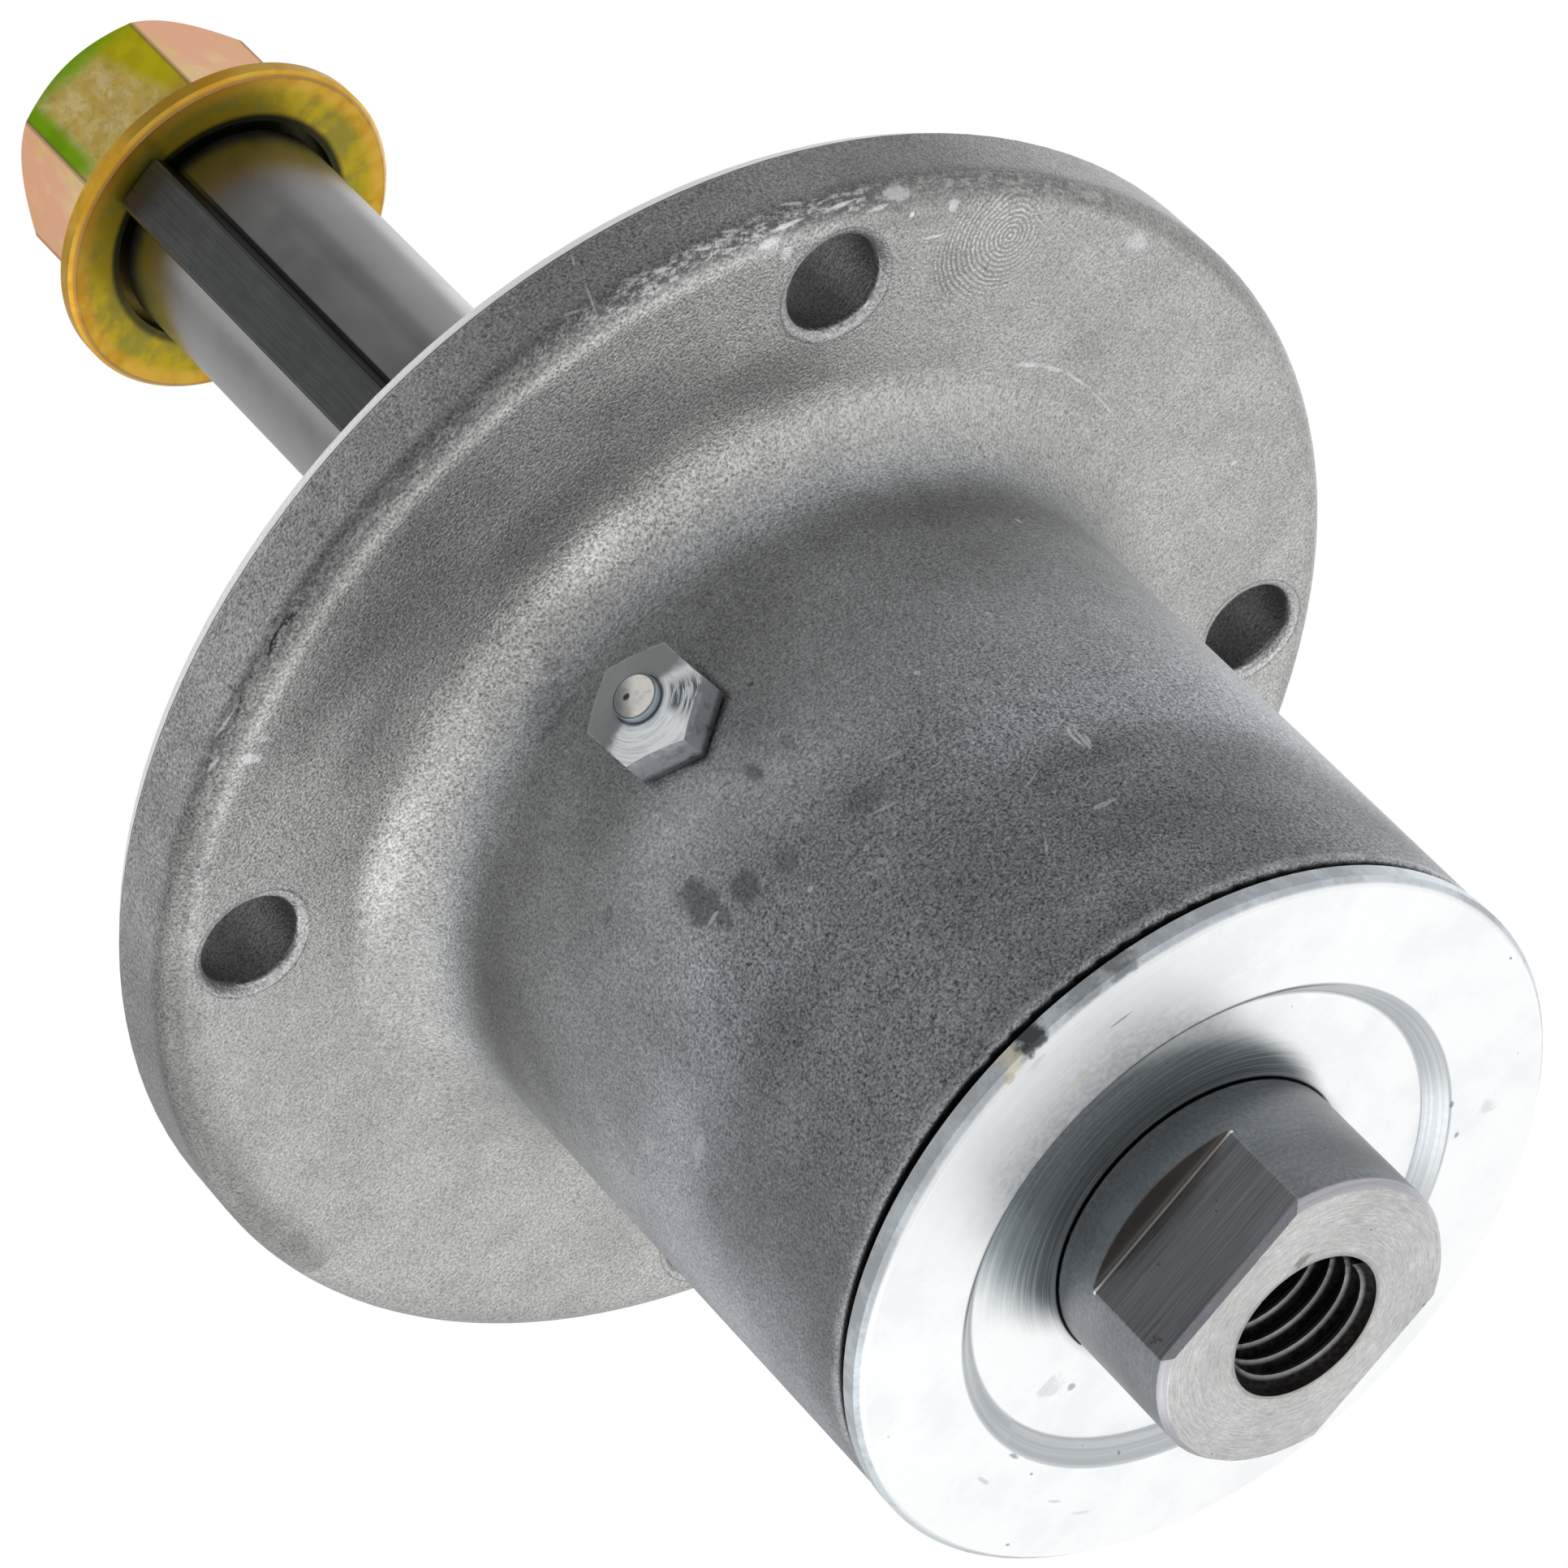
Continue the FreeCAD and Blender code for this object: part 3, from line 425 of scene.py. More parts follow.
# spots on the flange's front: radius, angle, size inwards and around, ragged edge, strength, pale or dark
faceSpots = [(64.3, -52.3, 0.9, 0.8, 0.9, 0.7, "pale"), (65.0, -39.8, 0.35, 0.35, 0.4, 0.8, "pale"),
             (64.5, -13.3, 1.2, 1.6, 1.6, 0.35, "pale"), (57.4, 19.9, 0.4, 0.4, 0.5, 0.5, "pale"),
             (65.3, -35.5, 0.9, 0.7, 1.4, 0.45, "pale"), (64.6, -116.0, 1.2, 0.7, 1.2, 0.7, "pale"),
             (64.2, -114.0, 0.9, 0.6, 1.2, 0.5, "pale"), (64.6, -175.4, 1.0, 2.2, 1.4, 0.25, "dark"),
             (58.6, -29.3, 0.5, 0.4, 0.6, 0.5, "dark"), (65.3, -127.2, 0.7, 1.3, 1.8, 0.4, "dark"),
             (53.0, -10.3, 2.0, 3.0, 1.6, 0.12, "dark"), (58.6, -33.5, 3.0, 4.0, 1.4, 0.12, "dark"),
             (67.0, -41.2, 0.9, 1.6, 1.4, 0.5, "pale")]


def barrelPlace(angle, height):
    return math.radians(angle) * casting["barrelRadius"], height


def rimPlace(angle, height):
    return math.radians(angle) * casting["rimRadius"], height


def facePlace(radius, angle):
    return radius * math.cos(math.radians(angle)), radius * math.sin(math.radians(angle))


def castAluminium():
    f = Finish("cast_aluminium").survey(marked=True)
    sand = f.noise(f.here, 3.4, 2, 0.6)
    grain = f.noise(f.here, 1.5, 3, 0.6)
    cloud = f.noise(f.here, 0.055, 3, 0.55)
    blotch = f.noise(f.here, 0.22, 3, 0.6)
    turned = f.angle * math.radians(1)

    # barrel and rim are darker than the flange's front; the barrel's lower part, towards the dust cap, is
    # painted slightly darker and bluer as shade
    barrel = f.span(f.radius, *casting["flareFoot"], 1.0, 0.0)
    rim = f.span(f.radius, 67.2, 67.6) * f.span(f.z, -9.6, -9.0)
    lower = barrel * f.span(f.z, *casting["shadedLowerPart"])
    colour = f.mix(barrel, casting["face"], casting["barrel"])
    colour = f.mix(lower, colour, casting["low"])
    colour = f.mix(rim, colour, casting["rim"])
    # unblasted walls of the four bolt holes, painted dark as shade inside the holes; round each mouth a
    # lighter ring, a thin bright ring at the inner edge that is a painted highlight, and a dark outer band of
    # painted shade
    quarter = f.angle.maths("WRAP", f.angle - casting["firstHole"], 45, -45)
    away = quarter * math.radians(1) * f.radius
    near = (away * away + (f.radius - casting["boltCircle"]) * (f.radius - casting["boltCircle"])) ** 0.5
    wall = f.span(near, *casting["holeWall"])
    colour = f.mix(wall, colour, casting["bore"])
    around = f.span(f.radius, 52, 53) * f.span(f.z, -10.3, -10.6)
    mouth = f.band(near, *casting["holeMouth"], 0.12) * around
    colour = f.mix(0.35 * mouth, colour, casting["mouth"])
    rings = f.band(near, *casting["holeHighlightRing"], 0.12) * around
    colour = f.mix(0.75 * rings * f.span(blotch, 0.36, 0.55), colour, casting["pale"])
    colour = f.mix(0.45 * f.band(near, *casting["holeShade"], 0.14) * around, colour, casting["dark"])

    # random tone of the casting, then the painted light and shade of the barrel and flange
    tone = f.span(cloud, 0.34, 0.66, 0.94, 1.05) * f.span(blotch, 0.3, 0.7, 0.96, 1.04)
    barrelMap = f.vector(turned * casting["barrelRadius"], f.z)
    flangeMap = f.vector(f.radius, f.angle)
    shade = f.combine("MULTIPLY", (
        f.spot(barrelMap, barrelPlace(angle, height), (wide, high), inner=0.0, strength=1 + gain, outside=1.0)
        for height, angle, high, wide, gain in barrelLightAndShade))
    tone = tone * (1 + (shade - 1) * barrel)
    shade = f.combine("MULTIPLY", (
        f.spot(flangeMap, (out, angle), (wide, around), inner=0.0, strength=1 + gain, outside=1.0)
        for out, angle, wide, around, gain in flangeLightAndShade))
    tone = tone * (1 + (shade - 1) * (1 - barrel))
    # the flange's rounded edge: painted shade on its outer side and painted light and shade on the rim wall
    # by angle, real scuffs along its ridge
    edge = f.radius - casting["edgeRadius"] + (f.z - casting["edgeHeight"])
    rounding = f.band(edge, 1.6, 6.2, 1.6) * (1 - wall) * f.span(f.radius, 60, 61)
    tone = tone * (1 - rounding * f.band(f.angle, -160, -40, 12) * 0.30)
    tone = tone * (1 - rounding * f.band(f.angle, -40, 10, 16) * 0.22)
    tone = tone * (1 + 0.20 * rim * f.band(f.angle, -140, -78, 16))
    tone = tone * (1 - 0.14 * rim * f.band(f.angle, -72, -30, 16))
    # sandy grain
    coarse = f.band(f.angle, -135, -52, 30) * (1 - barrel) + 1.7 * lower * f.band(f.angle, -120, -10, 30)
    tone = tone * (1 + (sand - 0.5) * (casting["sandGrain"] + 0.9 * coarse) + (grain - 0.5) * 0.5)
    colour = f.toned(colour, tone)
    ridge = f.band(edge, 2.3, 5.6, 1.6) * f.band(f.angle, -121, -16, 8) * f.span(f.radius, 63, 64)
    torn = f.noise(f.vector(turned * 55, edge * 1.3, f.z * 0.3), 1.1, 4, 0.7)
    deep = f.band(f.angle, -70, -44, 6)
    colour = f.mix(ridge * f.span(torn, 0.50, 0.57) * (0.45 + 0.4 * deep), colour, casting["dark"])
    colour = f.mix(ridge * f.span(torn, 0.46, 0.40) * (0.15 + 0.45 * deep), colour, casting["pale"])
    specks = f.band(edge, 3.9, 4.9, 0.8) * f.band(f.angle, -113, -102.5, 2) * f.span(torn, 0.50, 0.56)
    colour = f.mix(specks * 0.85, colour, casting["pit"])

    # handling marks
    stains = (f.spot(barrelMap, barrelPlace(angle, height), (wide, high), 0.9, strength=strength)
              for angle, height, wide, high, strength in barrelStains)
    colour = f.mix(barrel * f.combine("MAXIMUM", stains), colour, casting["dark"])
    flecks = (f.spot(barrelMap, barrelPlace(angle, height), (wide, high), 1.8, 0.8, strength=strength)
              for angle, height, wide, high, strength in barrelFlecks)
    colour = f.mix(barrel * f.combine("MAXIMUM", flecks), colour, casting["pale"])
    scores = (f.stroke(barrelMap, barrelPlace(*start), barrelPlace(*end), width, strength)
              for start, end, width, strength in barrelScratches)
    colour = f.mix(barrel * f.combine("MAXIMUM", scores), colour, casting["pale"])
    rimMap = f.vector(turned * casting["rimRadius"], f.z)
    scores = (f.stroke(rimMap, rimPlace(*start), rimPlace(*end), width, strength)
              for start, end, width, strength in rimScratches)
    colour = f.mix(f.span(f.radius, 63.5, 64.5) * f.combine("MAXIMUM", scores), colour, casting["pale"])
    faceMap = f.vector(f.x, f.y)
    scores = (f.stroke(faceMap, facePlace(*start), facePlace(*end), width, strength)
              for start, end, width, strength in faceScratches)
    front = f.span(f.z, *casting["frontFace"])
    colour = f.mix(front * f.combine("MAXIMUM", scores), colour, casting["pale"])
    for shade in ("pale", "dark"):
        spots = (f.spot(flangeMap, (out, angle), (wide, math.degrees(around / out)), ragged,
                        strength=strength)
                 for out, angle, wide, around, ragged, strength, name in faceSpots if name == shade)
        colour = f.mix(front * f.combine("MAXIMUM", spots), colour, casting[shade])
    # a fingerprint's ripples
    centreX, centreY = casting["printCentre"]
    swirl = ((f.x - centreX) * (f.x - centreX) + (f.y - centreY) * (f.y - centreY)) ** 0.5
    phase = swirl * casting["printPitch"] + 9 * (blotch - 0.5)
    ripple = phase.maths("SINE", phase)
    prints = f.spot(faceMap, facePlace(*casting["printMiddle"]), (8.0, 7.5), 0.8) * f.span(f.z, -11.0, -11.4)
    darker = 1 + 0.34 * ripple * prints * f.span(sand, 0.3, 0.6, 0.3, 1.0)
    colour = f.toned(colour, darker)

    # painted shade in the gap round the valve, and painted black shadow in the gap above the dust cap
    gap = f.hexagon(f.x, f.z - valveHeight, 3)
    gap = f.span(gap, 6.3, 5.4) * f.span(f.x - (f.z - valveHeight), 1, 6) * f.span(f.y, -30, -34)
    gap = gap * 0.75
    gap = f.either(gap, f.span(f.z, *casting["capGap"]) * f.span(f.radius, *casting["endFace"]))
    colour = f.mix(gap, colour, casting["pit"])
    burr = f.band(f.z, -82.2, -81.5, 0.5) * f.span(f.radius, *casting["endFace"]) * f.span(blotch, 0.35, 0.6)
    colour = f.mix(burr * 0.3, colour, casting["pale"])

    # machined: locating lip, back face, pilot and the bearing seats
    back = f.span(f.z, *casting["backFace"])
    cutMetal = f.either(back, f.span(f.radius, *casting["boreWall"], 1.0, 0.0))
    turning = f.noise(f.vector(f.radius * 6, f.angle * 0.02, f.z * 6), 1.0, 2, 0.5)
    bright = f.mix(f.span(turning, 0.35, 0.65), grey(0.88), casting["machined"])
    colour = f.mix(cutMetal, colour, bright)
    # painted shade: a dark line in the corner of the lip's step
    lipStepShade = f.band(f.z, -2.12, -1.92, 0.12) * f.span(f.radius, 66, 66.3)
    colour = f.mix(lipStepShade * 0.8, colour, casting["dark"])
    surface = f.bump(sand, 0.8, 0.14)
    surface = f.bump(grain, 0.4, 0.18, surface)
    f.feed(Base_Color=colour, Roughness=0.47 - 0.14 * cutMetal, Metallic=1 - 0.8 * back, Normal=surface)
    return f


paint(castAluminium(), "housing")
print("housing finished")


# dust caps: bright zinc with fine turning and a few marks
zincPlate = dict(bright=(0.93, 0.94, 0.945, 1), cool=(0.87, 0.89, 0.905, 1), rim=(0.58, 0.64, 0.68, 1),
                 well=(0.46, 0.49, 0.515, 1), deep=(0.085, 0.11, 0.125, 1), outerFloorReflection=(0.25, 0.305, 0.33, 1),
                 black=(0.015, 0.018, 0.022, 1), near=(0.42, 0.45, 0.48, 1), pit=(0.20, 0.22, 0.23, 1),
                 dirt=(0.52, 0.42, 0.22, 1), straw=(0.80, 0.74, 0.52, 1), veil=(0.66, 0.70, 0.74, 1),
                 blue=(0.50, 0.62, 0.78, 1), wellWall=(25.3, 27.6), rimEdge=(38.2, 38.5),
                 faceRing=(27.5, 38.0), floorEdge=(25.6, 25.4), floorHeight=(-85.0, -84.6),
                 shadeStart=-133, shadeStop=-8)
# marks on the lower cap: radius, angle, size inwards and around, ragged edge, strength, colour
capMarks = [(38.8, -84.7, 0.8, 2.2, 1.8, 0.9, "black"), (38.8, -88.4, 0.8, 1.5, 2.0, 0.55, "straw"),
            (38.7, -69.5, 0.5, 2.2, 2.0, 0.5, "black"), (38.7, -76.0, 0.35, 2.4, 1.8, 0.35, "black"),
            (31.1, -83.7, 0.35, 1.5, 0.6, 0.45, "straw"), (31.6, -82.5, 0.25, 1.2, 0.6, 0.35, "blue"),
            (37.5, -86.4, 0.5, 1.4, 2.0, 0.3, "near"), (38.3, -90.8, 0.5, 0.8, 2.0, 0.5, "dirt"),
            (37.4, 8.7, 0.22, 0.25, 0.4, 0.8, "pit"), (28.9, 168.2, 0.22, 0.25, 0.4, 0.8, "pit"),
            (21.0, 178.0, 1.6, 2.6, 1.9, 0.35, "near"), (20.0, 170.0, 0.5, 0.7, 1.6, 0.6, "pit"),
            (27.9, 176.0, 0.4, 0.9, 1.6, 0.7, "pit"), (27.6, 33.0, 0.3, 0.5, 1.6, 0.8, "pit"),
            (28.6, 42.0, 0.3, 0.4, 1.6, 0.7, "pit"), (32.0, 38.0, 1.3, 1.3, 2.0, 0.3, "near"),
            (31.5, 158.0, 0.25, 1.4, 0.9, 0.45, "near"), (31.4, 178.5, 0.3, 1.3, 0.9, 0.5, "near"),
            (34.0, -73.0, 0.2, 1.6, 0.8, 0.7, "pit"), (33.0, 150.0, 0.3, 1.5, 1.6, 0.35, "near")]


def zincCaps():
    f = Finish("zinc_plate", Metallic=1.0).survey(marked=True)
    rings = f.noise(f.vector(f.radius * 5, f.angle * 0.02, f.z * 5), 1.0, 3, 0.6)
    lathe = f.noise(f.vector(f.radius * 3, f.angle * 0.01, f.z * 3), 1.0, 1, 0.5)
    bloom = f.noise(f.here, 0.16, 4, 0.6)
    spangle = f.noise(f.here, 1.6, 3, 0.7)
    colour = f.mix(f.span(bloom + 0.25 * (spangle - 0.5), 0.40, 0.66), zincPlate["bright"], zincPlate["cool"])
    # painted shade: the well's wall is painted darker grey all round the recess
    well = f.band(f.radius, *zincPlate["wellWall"], 0.3)
    colour = f.mix(well * f.span(lathe, 0.3, 0.7, 0.75, 1.0), colour, zincPlate["well"])
    side = f.span(f.radius, *zincPlate["rimEdge"])
    scuffed = f.mix(f.span(bloom + 0.3 * (spangle - 0.5), 0.40, 0.62), zincPlate["rim"], zincPlate["near"])
    colour = f.mix(side, colour, scuffed)
    # painted reflection: the well's floor is painted blue-grey to dark on the side towards the valve, in fine
    # rings, as the studio's dark shade
    lines = 6 * (lathe - 0.5)
    start = f.angle - zincPlate["shadeStart"] + (25 - f.radius) * 3.4 + lines
    stop = f.angle - zincPlate["shadeStop"] + (f.radius - 17) * 8.0 + lines
    deep = f.span(start, -10, 14) * f.span(stop, 10, -14) * f.span(f.radius, *zincPlate["floorEdge"])
    deep = deep * f.span(f.z, *zincPlate["floorHeight"]) * (1 - 0.3 * f.span(rings, 0.4, 0.7))
    floor = f.mix(f.span(f.radius, 16.5, 23.5), zincPlate["deep"], zincPlate["outerFloorReflection"])
    colour = f.mix(deep * 0.92, colour, floor)
    # painted shade darkening the floor round the head's base, a dark line round the well's edge on the shaded
    # side, and a black painted shadow at the head's base on one half
    colour = f.mix(f.span(f.radius, 17.0, 15.9) * 0.5, colour, zincPlate["near"])
    corner = f.band(f.radius, 27.1, 27.5, 0.15) * f.band(f.angle, -140, -30, 20)
    corner = f.either(corner * 0.7, f.span(f.radius, 16.2, 16.0) * f.span(f.angle, 20, 0))
    colour = f.mix(corner, colour, zincPlate["black"])
    veil = f.band(f.angle, -122, -52, 40) * f.band(f.radius, *zincPlate["faceRing"], 0.8)
    veil = veil * f.span(rings, 0.3, 0.6, 0.6, 1.0)
    colour = f.mix(veil * 0.45, colour, zincPlate["veil"])
    pits = f.span(f.noise(f.here, 0.7, 1, 0.4), 0.20, 0.17)
    colour = f.mix(pits * 0.7, colour, zincPlate["pit"])
    capMap = f.vector(f.radius, f.angle)
    underside = f.span(f.z, -80, -81)
    for shade in ("near", "straw", "blue", "dirt", "pit", "black"):
        marks = (f.spot(capMap, (out, angle), (wide, math.degrees(around / out)), ragged, 0.4, 0.0, strength)
                 for out, angle, wide, around, ragged, strength, name in capMarks if name == shade)
        colour = f.mix(underside * f.combine("MAXIMUM", marks), colour, zincPlate[shade])
    surface = f.bump(rings, 0.12, 0.03)
    surface = f.bump(spangle, 0.05, 0.02, surface)
    f.feed(Base_Color=colour, Roughness=0.28 + 0.06 * f.span(spangle, 0.3, 0.7), Normal=surface,
           Metallic=1 - 0.6 * side)
    return f


paint(zincCaps(), "lower_dust_cap", "upper_dust_cap")
print("dust caps finished")


# shaft: turned head with milled flats, satin journal
shaftSteel = dict(end=(0.50, 0.497, 0.495, 1), head=(0.222, 0.234, 0.247, 1),
                  journal=(0.385, 0.388, 0.392, 1), flat=(0.16, 0.162, 0.167, 1),
                  stepShade=(0.125, 0.108, 0.10, 1), line=(1.0, 0.98, 0.94, 1), bevel=(0.50, 0.485, 0.53, 1),
                  darkBrown=(0.10, 0.08, 0.07, 1), worn=(0.30, 0.32, 0.33, 1), under=(0.10, 0.103, 0.108, 1),
                  slot=(0.006, 0.006, 0.006, 1), headTurn=-4.65, headStart=(-83.5, -83.0),
                  endFace=(-100.9, -100.8), flatFace=(12.55, 12.8), flatTop=(-89.6, -89.3),
                  stepFace=(-89.62, -89.25), bevelFoot=(-99.85, -100.05), boreWall=(8.05, 7.9))


def turnedShaft():
    f = Finish("shaft_steel", Metallic=1.0, Roughness=0.38).survey(marked=True)
    rings = f.noise(f.vector(f.radius * 4, f.angle * 0.03, f.z * 4), 1.0, 3, 0.6)
    fine = f.noise(f.vector(f.radius * 14, f.angle * 0.05, f.z * 14), 1.0, 2, 0.5)
    cloud = f.noise(f.here, 0.12, 3, 0.6)
    speckle = f.noise(f.here, 2.6, 3, 0.65)
    head = f.span(f.z, *shaftSteel["headStart"], 1.0, 0.0)
    end = f.span(f.z, *shaftSteel["endFace"], 1.0, 0.0)
    # distance out from the middle plane between the two flats, and along the flat
    turn = math.radians(shaftSteel["headTurn"])
    out = abs(f.y * math.cos(turn) - f.x * math.sin(turn))
    beside = f.x * math.cos(turn) + f.y * math.sin(turn)
    flat = f.band(out, *shaftSteel["flatFace"], 0.1) * f.span(f.z, *shaftSteel["flatTop"], 1.0, 0.0)
    flat = flat * (1 - end)
    brushed = f.noise(f.vector(beside * 0.08, 0.0, f.z * 4.2), 1.0, 4, 0.72)
    colour = f.mix(head, shaftSteel["journal"], shaftSteel["head"])
    colour = f.mix(end, colour, shaftSteel["end"])
    colour = f.mix(flat, colour, shaftSteel["flat"])
    tone = f.span(rings, 0.3, 0.7, 0.93, 1.05) * (1 - flat) * head + (1 - flat) * (1 - head)
    tone = tone + flat * f.span(brushed, 0.32, 0.68, 0.74, 1.28) * f.span(beside, -10, 10, 1.15, 1.5)
    turning = f.noise(f.vector(f.radius * 5.5, f.angle * 0.12, 0.0), 1.0, 3, 0.7)
    tone = tone * (1 + end * (0.45 * (speckle - 0.5) + 1.1 * (turning - 0.5)))
    tone = tone * (1 + head * (1 - flat) * (1 - end) * 1.0 * (speckle - 0.5))
    tone = tone * f.span(cloud, 0.3, 0.7, 0.92, 1.06)
    colour = f.toned(colour, tone)
    # the milled step above each flat, painted dark as shade, with a painted highlight along its corner
    step = f.band(f.z, *shaftSteel["stepFace"], 0.1) * f.span(out, 12.72, 12.85) * head
    colour = f.mix(step, colour, shaftSteel["stepShade"])
    corner = f.band(f.z, -89.78, -89.5, 0.08) * f.band(out, 12.5, 12.85, 0.1)
    colour = f.mix(corner * f.span(cloud, 0.25, 0.4), colour, shaftSteel["line"])
    # lighter bevel round the end; the hole's wall painted dark brown as shade, with a darker ring round its
    # mouth
    bevel = f.span(f.z, *shaftSteel["bevelFoot"]) * (1 - end) * f.span(rings, 0.3, 0.6, 0.7, 1.0)
    colour = f.mix(bevel * 0.85 * head, colour, shaftSteel["bevel"])
    # a black painted shadow in the gap at the head's base, pits and a worn patch on the head
    base = f.band(f.z, -84.62, -83.0, 0.15) * f.span(f.radius, 15.8, 15.85)
    colour = f.mix(base, colour, shaftSteel["slot"])
    pits = f.span(f.noise(f.here, 0.8, 2, 0.5), 0.27, 0.22) * head
    colour = f.mix(pits * 0.7, colour, shaftSteel["darkBrown"])
    worn = f.spot(f.vector(f.x, f.z), (-3.6, -88.0), (2.6, 1.2), 1.2) * f.span(f.y, -14.5, -15.0) * (1 - flat)
    colour = f.mix(worn * 0.35, colour, shaftSteel["worn"])
    bore = f.span(f.radius, *shaftSteel["boreWall"]) * head
    colour = f.mix(f.either(end * f.span(f.radius, 8.5, 8.1) * 0.35, bore), colour, shaftSteel["darkBrown"])
    burr = f.spot(f.vector(f.x, f.y), (4.5, -7.6), (1.3, 0.7), 1.8) * end
    colour = f.mix(burr * 0.6, colour, shaftSteel["darkBrown"])
    # painted shadow in the slot beside the key, and a soft dark band along the journal
    aside = f.x * math.cos(keyTurn) + f.y * math.sin(keyTurn)
    slot = f.band(aside, 3.1, 3.65, 0.25) * f.span(f.z, 1, 2) * f.span(f.y, -8, -9)
    colour = f.mix(slot * 0.9, colour, shaftSteel["slot"])
    streak = f.band(f.angle, -61, -50, 8) * f.span(f.z, 90, 70) * f.span(f.z, 1, 30)
    colour = f.mix(streak * 0.35, colour, shaftSteel["under"])
    # painted shadow: the journal is painted darker under the pulley nut
    under = f.span(f.z, 80, 93.5) * f.span(f.radius, 12.0, 12.2)
    colour = f.mix(under * 0.75, colour, shaftSteel["under"])
    marks = rings * (1 - flat) + flat * brushed
    surface = f.bump(marks * (0.08 + 0.92 * head), 0.30, 0.03)
    surface = f.bump(fine, 0.15, 0.01, surface)
    rough = 0.26 + 0.08 * head + 0.12 * f.span(cloud, 0.3, 0.7)
    f.feed(Base_Color=colour, Roughness=rough, Normal=surface)
    return f


paint(turnedShaft(), "spindle_shaft")


def threadSteel():
    f = Finish("thread_steel", Metallic=1.0, Roughness=0.35).survey()
    crest = f.span(f.radius, 7.4, 7.0)
    dirt = f.noise(f.here, 1.4, 3, 0.6)
    # the thread lies inside the bolt hole: its flanks are painted near-black as shade, mottled, with grey
    # crests
    flank = f.mix(f.span(dirt, 0.35, 0.7), (0.006, 0.006, 0.006, 1), (0.02, 0.018, 0.017, 1))
    f.feed(Base_Color=f.mix(crest, flank, grey(0.20)), Normal=f.bump(dirt, 0.3, 0.03),
           Roughness=0.5 - 0.2 * crest)
    return f


thread.data.materials.append(threadSteel().material)


def keySteel():
    f = Finish("key_steel", Metallic=0.9).survey()
    drawn = f.noise(f.vector(f.x * 5, f.y * 5, f.z * 0.15), 1.0, 3, 0.6)
    cloud = f.noise(f.here, 0.3, 3, 0.6)
    # painted shade: the sides, in the shaft's slot, are painted nearly black
    across = abs(f.x * math.cos(keyTurn) + f.y * math.sin(keyTurn))
    colour = f.mix(f.span(drawn, 0.3, 0.7), grey(0.075, 0.02), grey(0.10, 0.03))
    colour = f.mix(f.span(cloud, 0.55, 0.75) * 0.3, colour, grey(0.15, 0.03))
    colour = f.mix(f.span(across, 3.02, 3.14), colour, grey(0.004))
    f.feed(Base_Color=colour, Normal=f.bump(drawn, 0.25, 0.02),
           Roughness=0.38 + 0.14 * f.span(cloud, 0.3, 0.7))
    return f


paint(keySteel(), "pulley_key")
print("shaft, thread and key finished")


# pulley nut: yellow zinc that runs from gold to green and salmon
yellowZinc = dict(gold=(0.66, 0.40, 0.05, 1), rimLine=(0.30, 0.15, 0.06, 1), orange=(0.62, 0.33, 0.02, 1),
                  green=(0.26, 0.52, 0.0, 1), lime=(0.72, 0.62, 0.005, 1), tan=(0.84, 0.60, 0.15, 1),
                  salmon=(1.0, 0.52, 0.30, 1), cream=(0.98, 0.82, 0.42, 1), olive=(0.44, 0.34, 0.005, 1),
                  moss=(0.27, 0.28, 0.04, 1), shade=(0.03, 0.028, 0.01, 1), nearFace=-84.2, hexagonFoot=99,
                  rimRing=(19.0, 19.35), innerCone=(18.3, 16.6), counterbore=(14.7, 13.9))


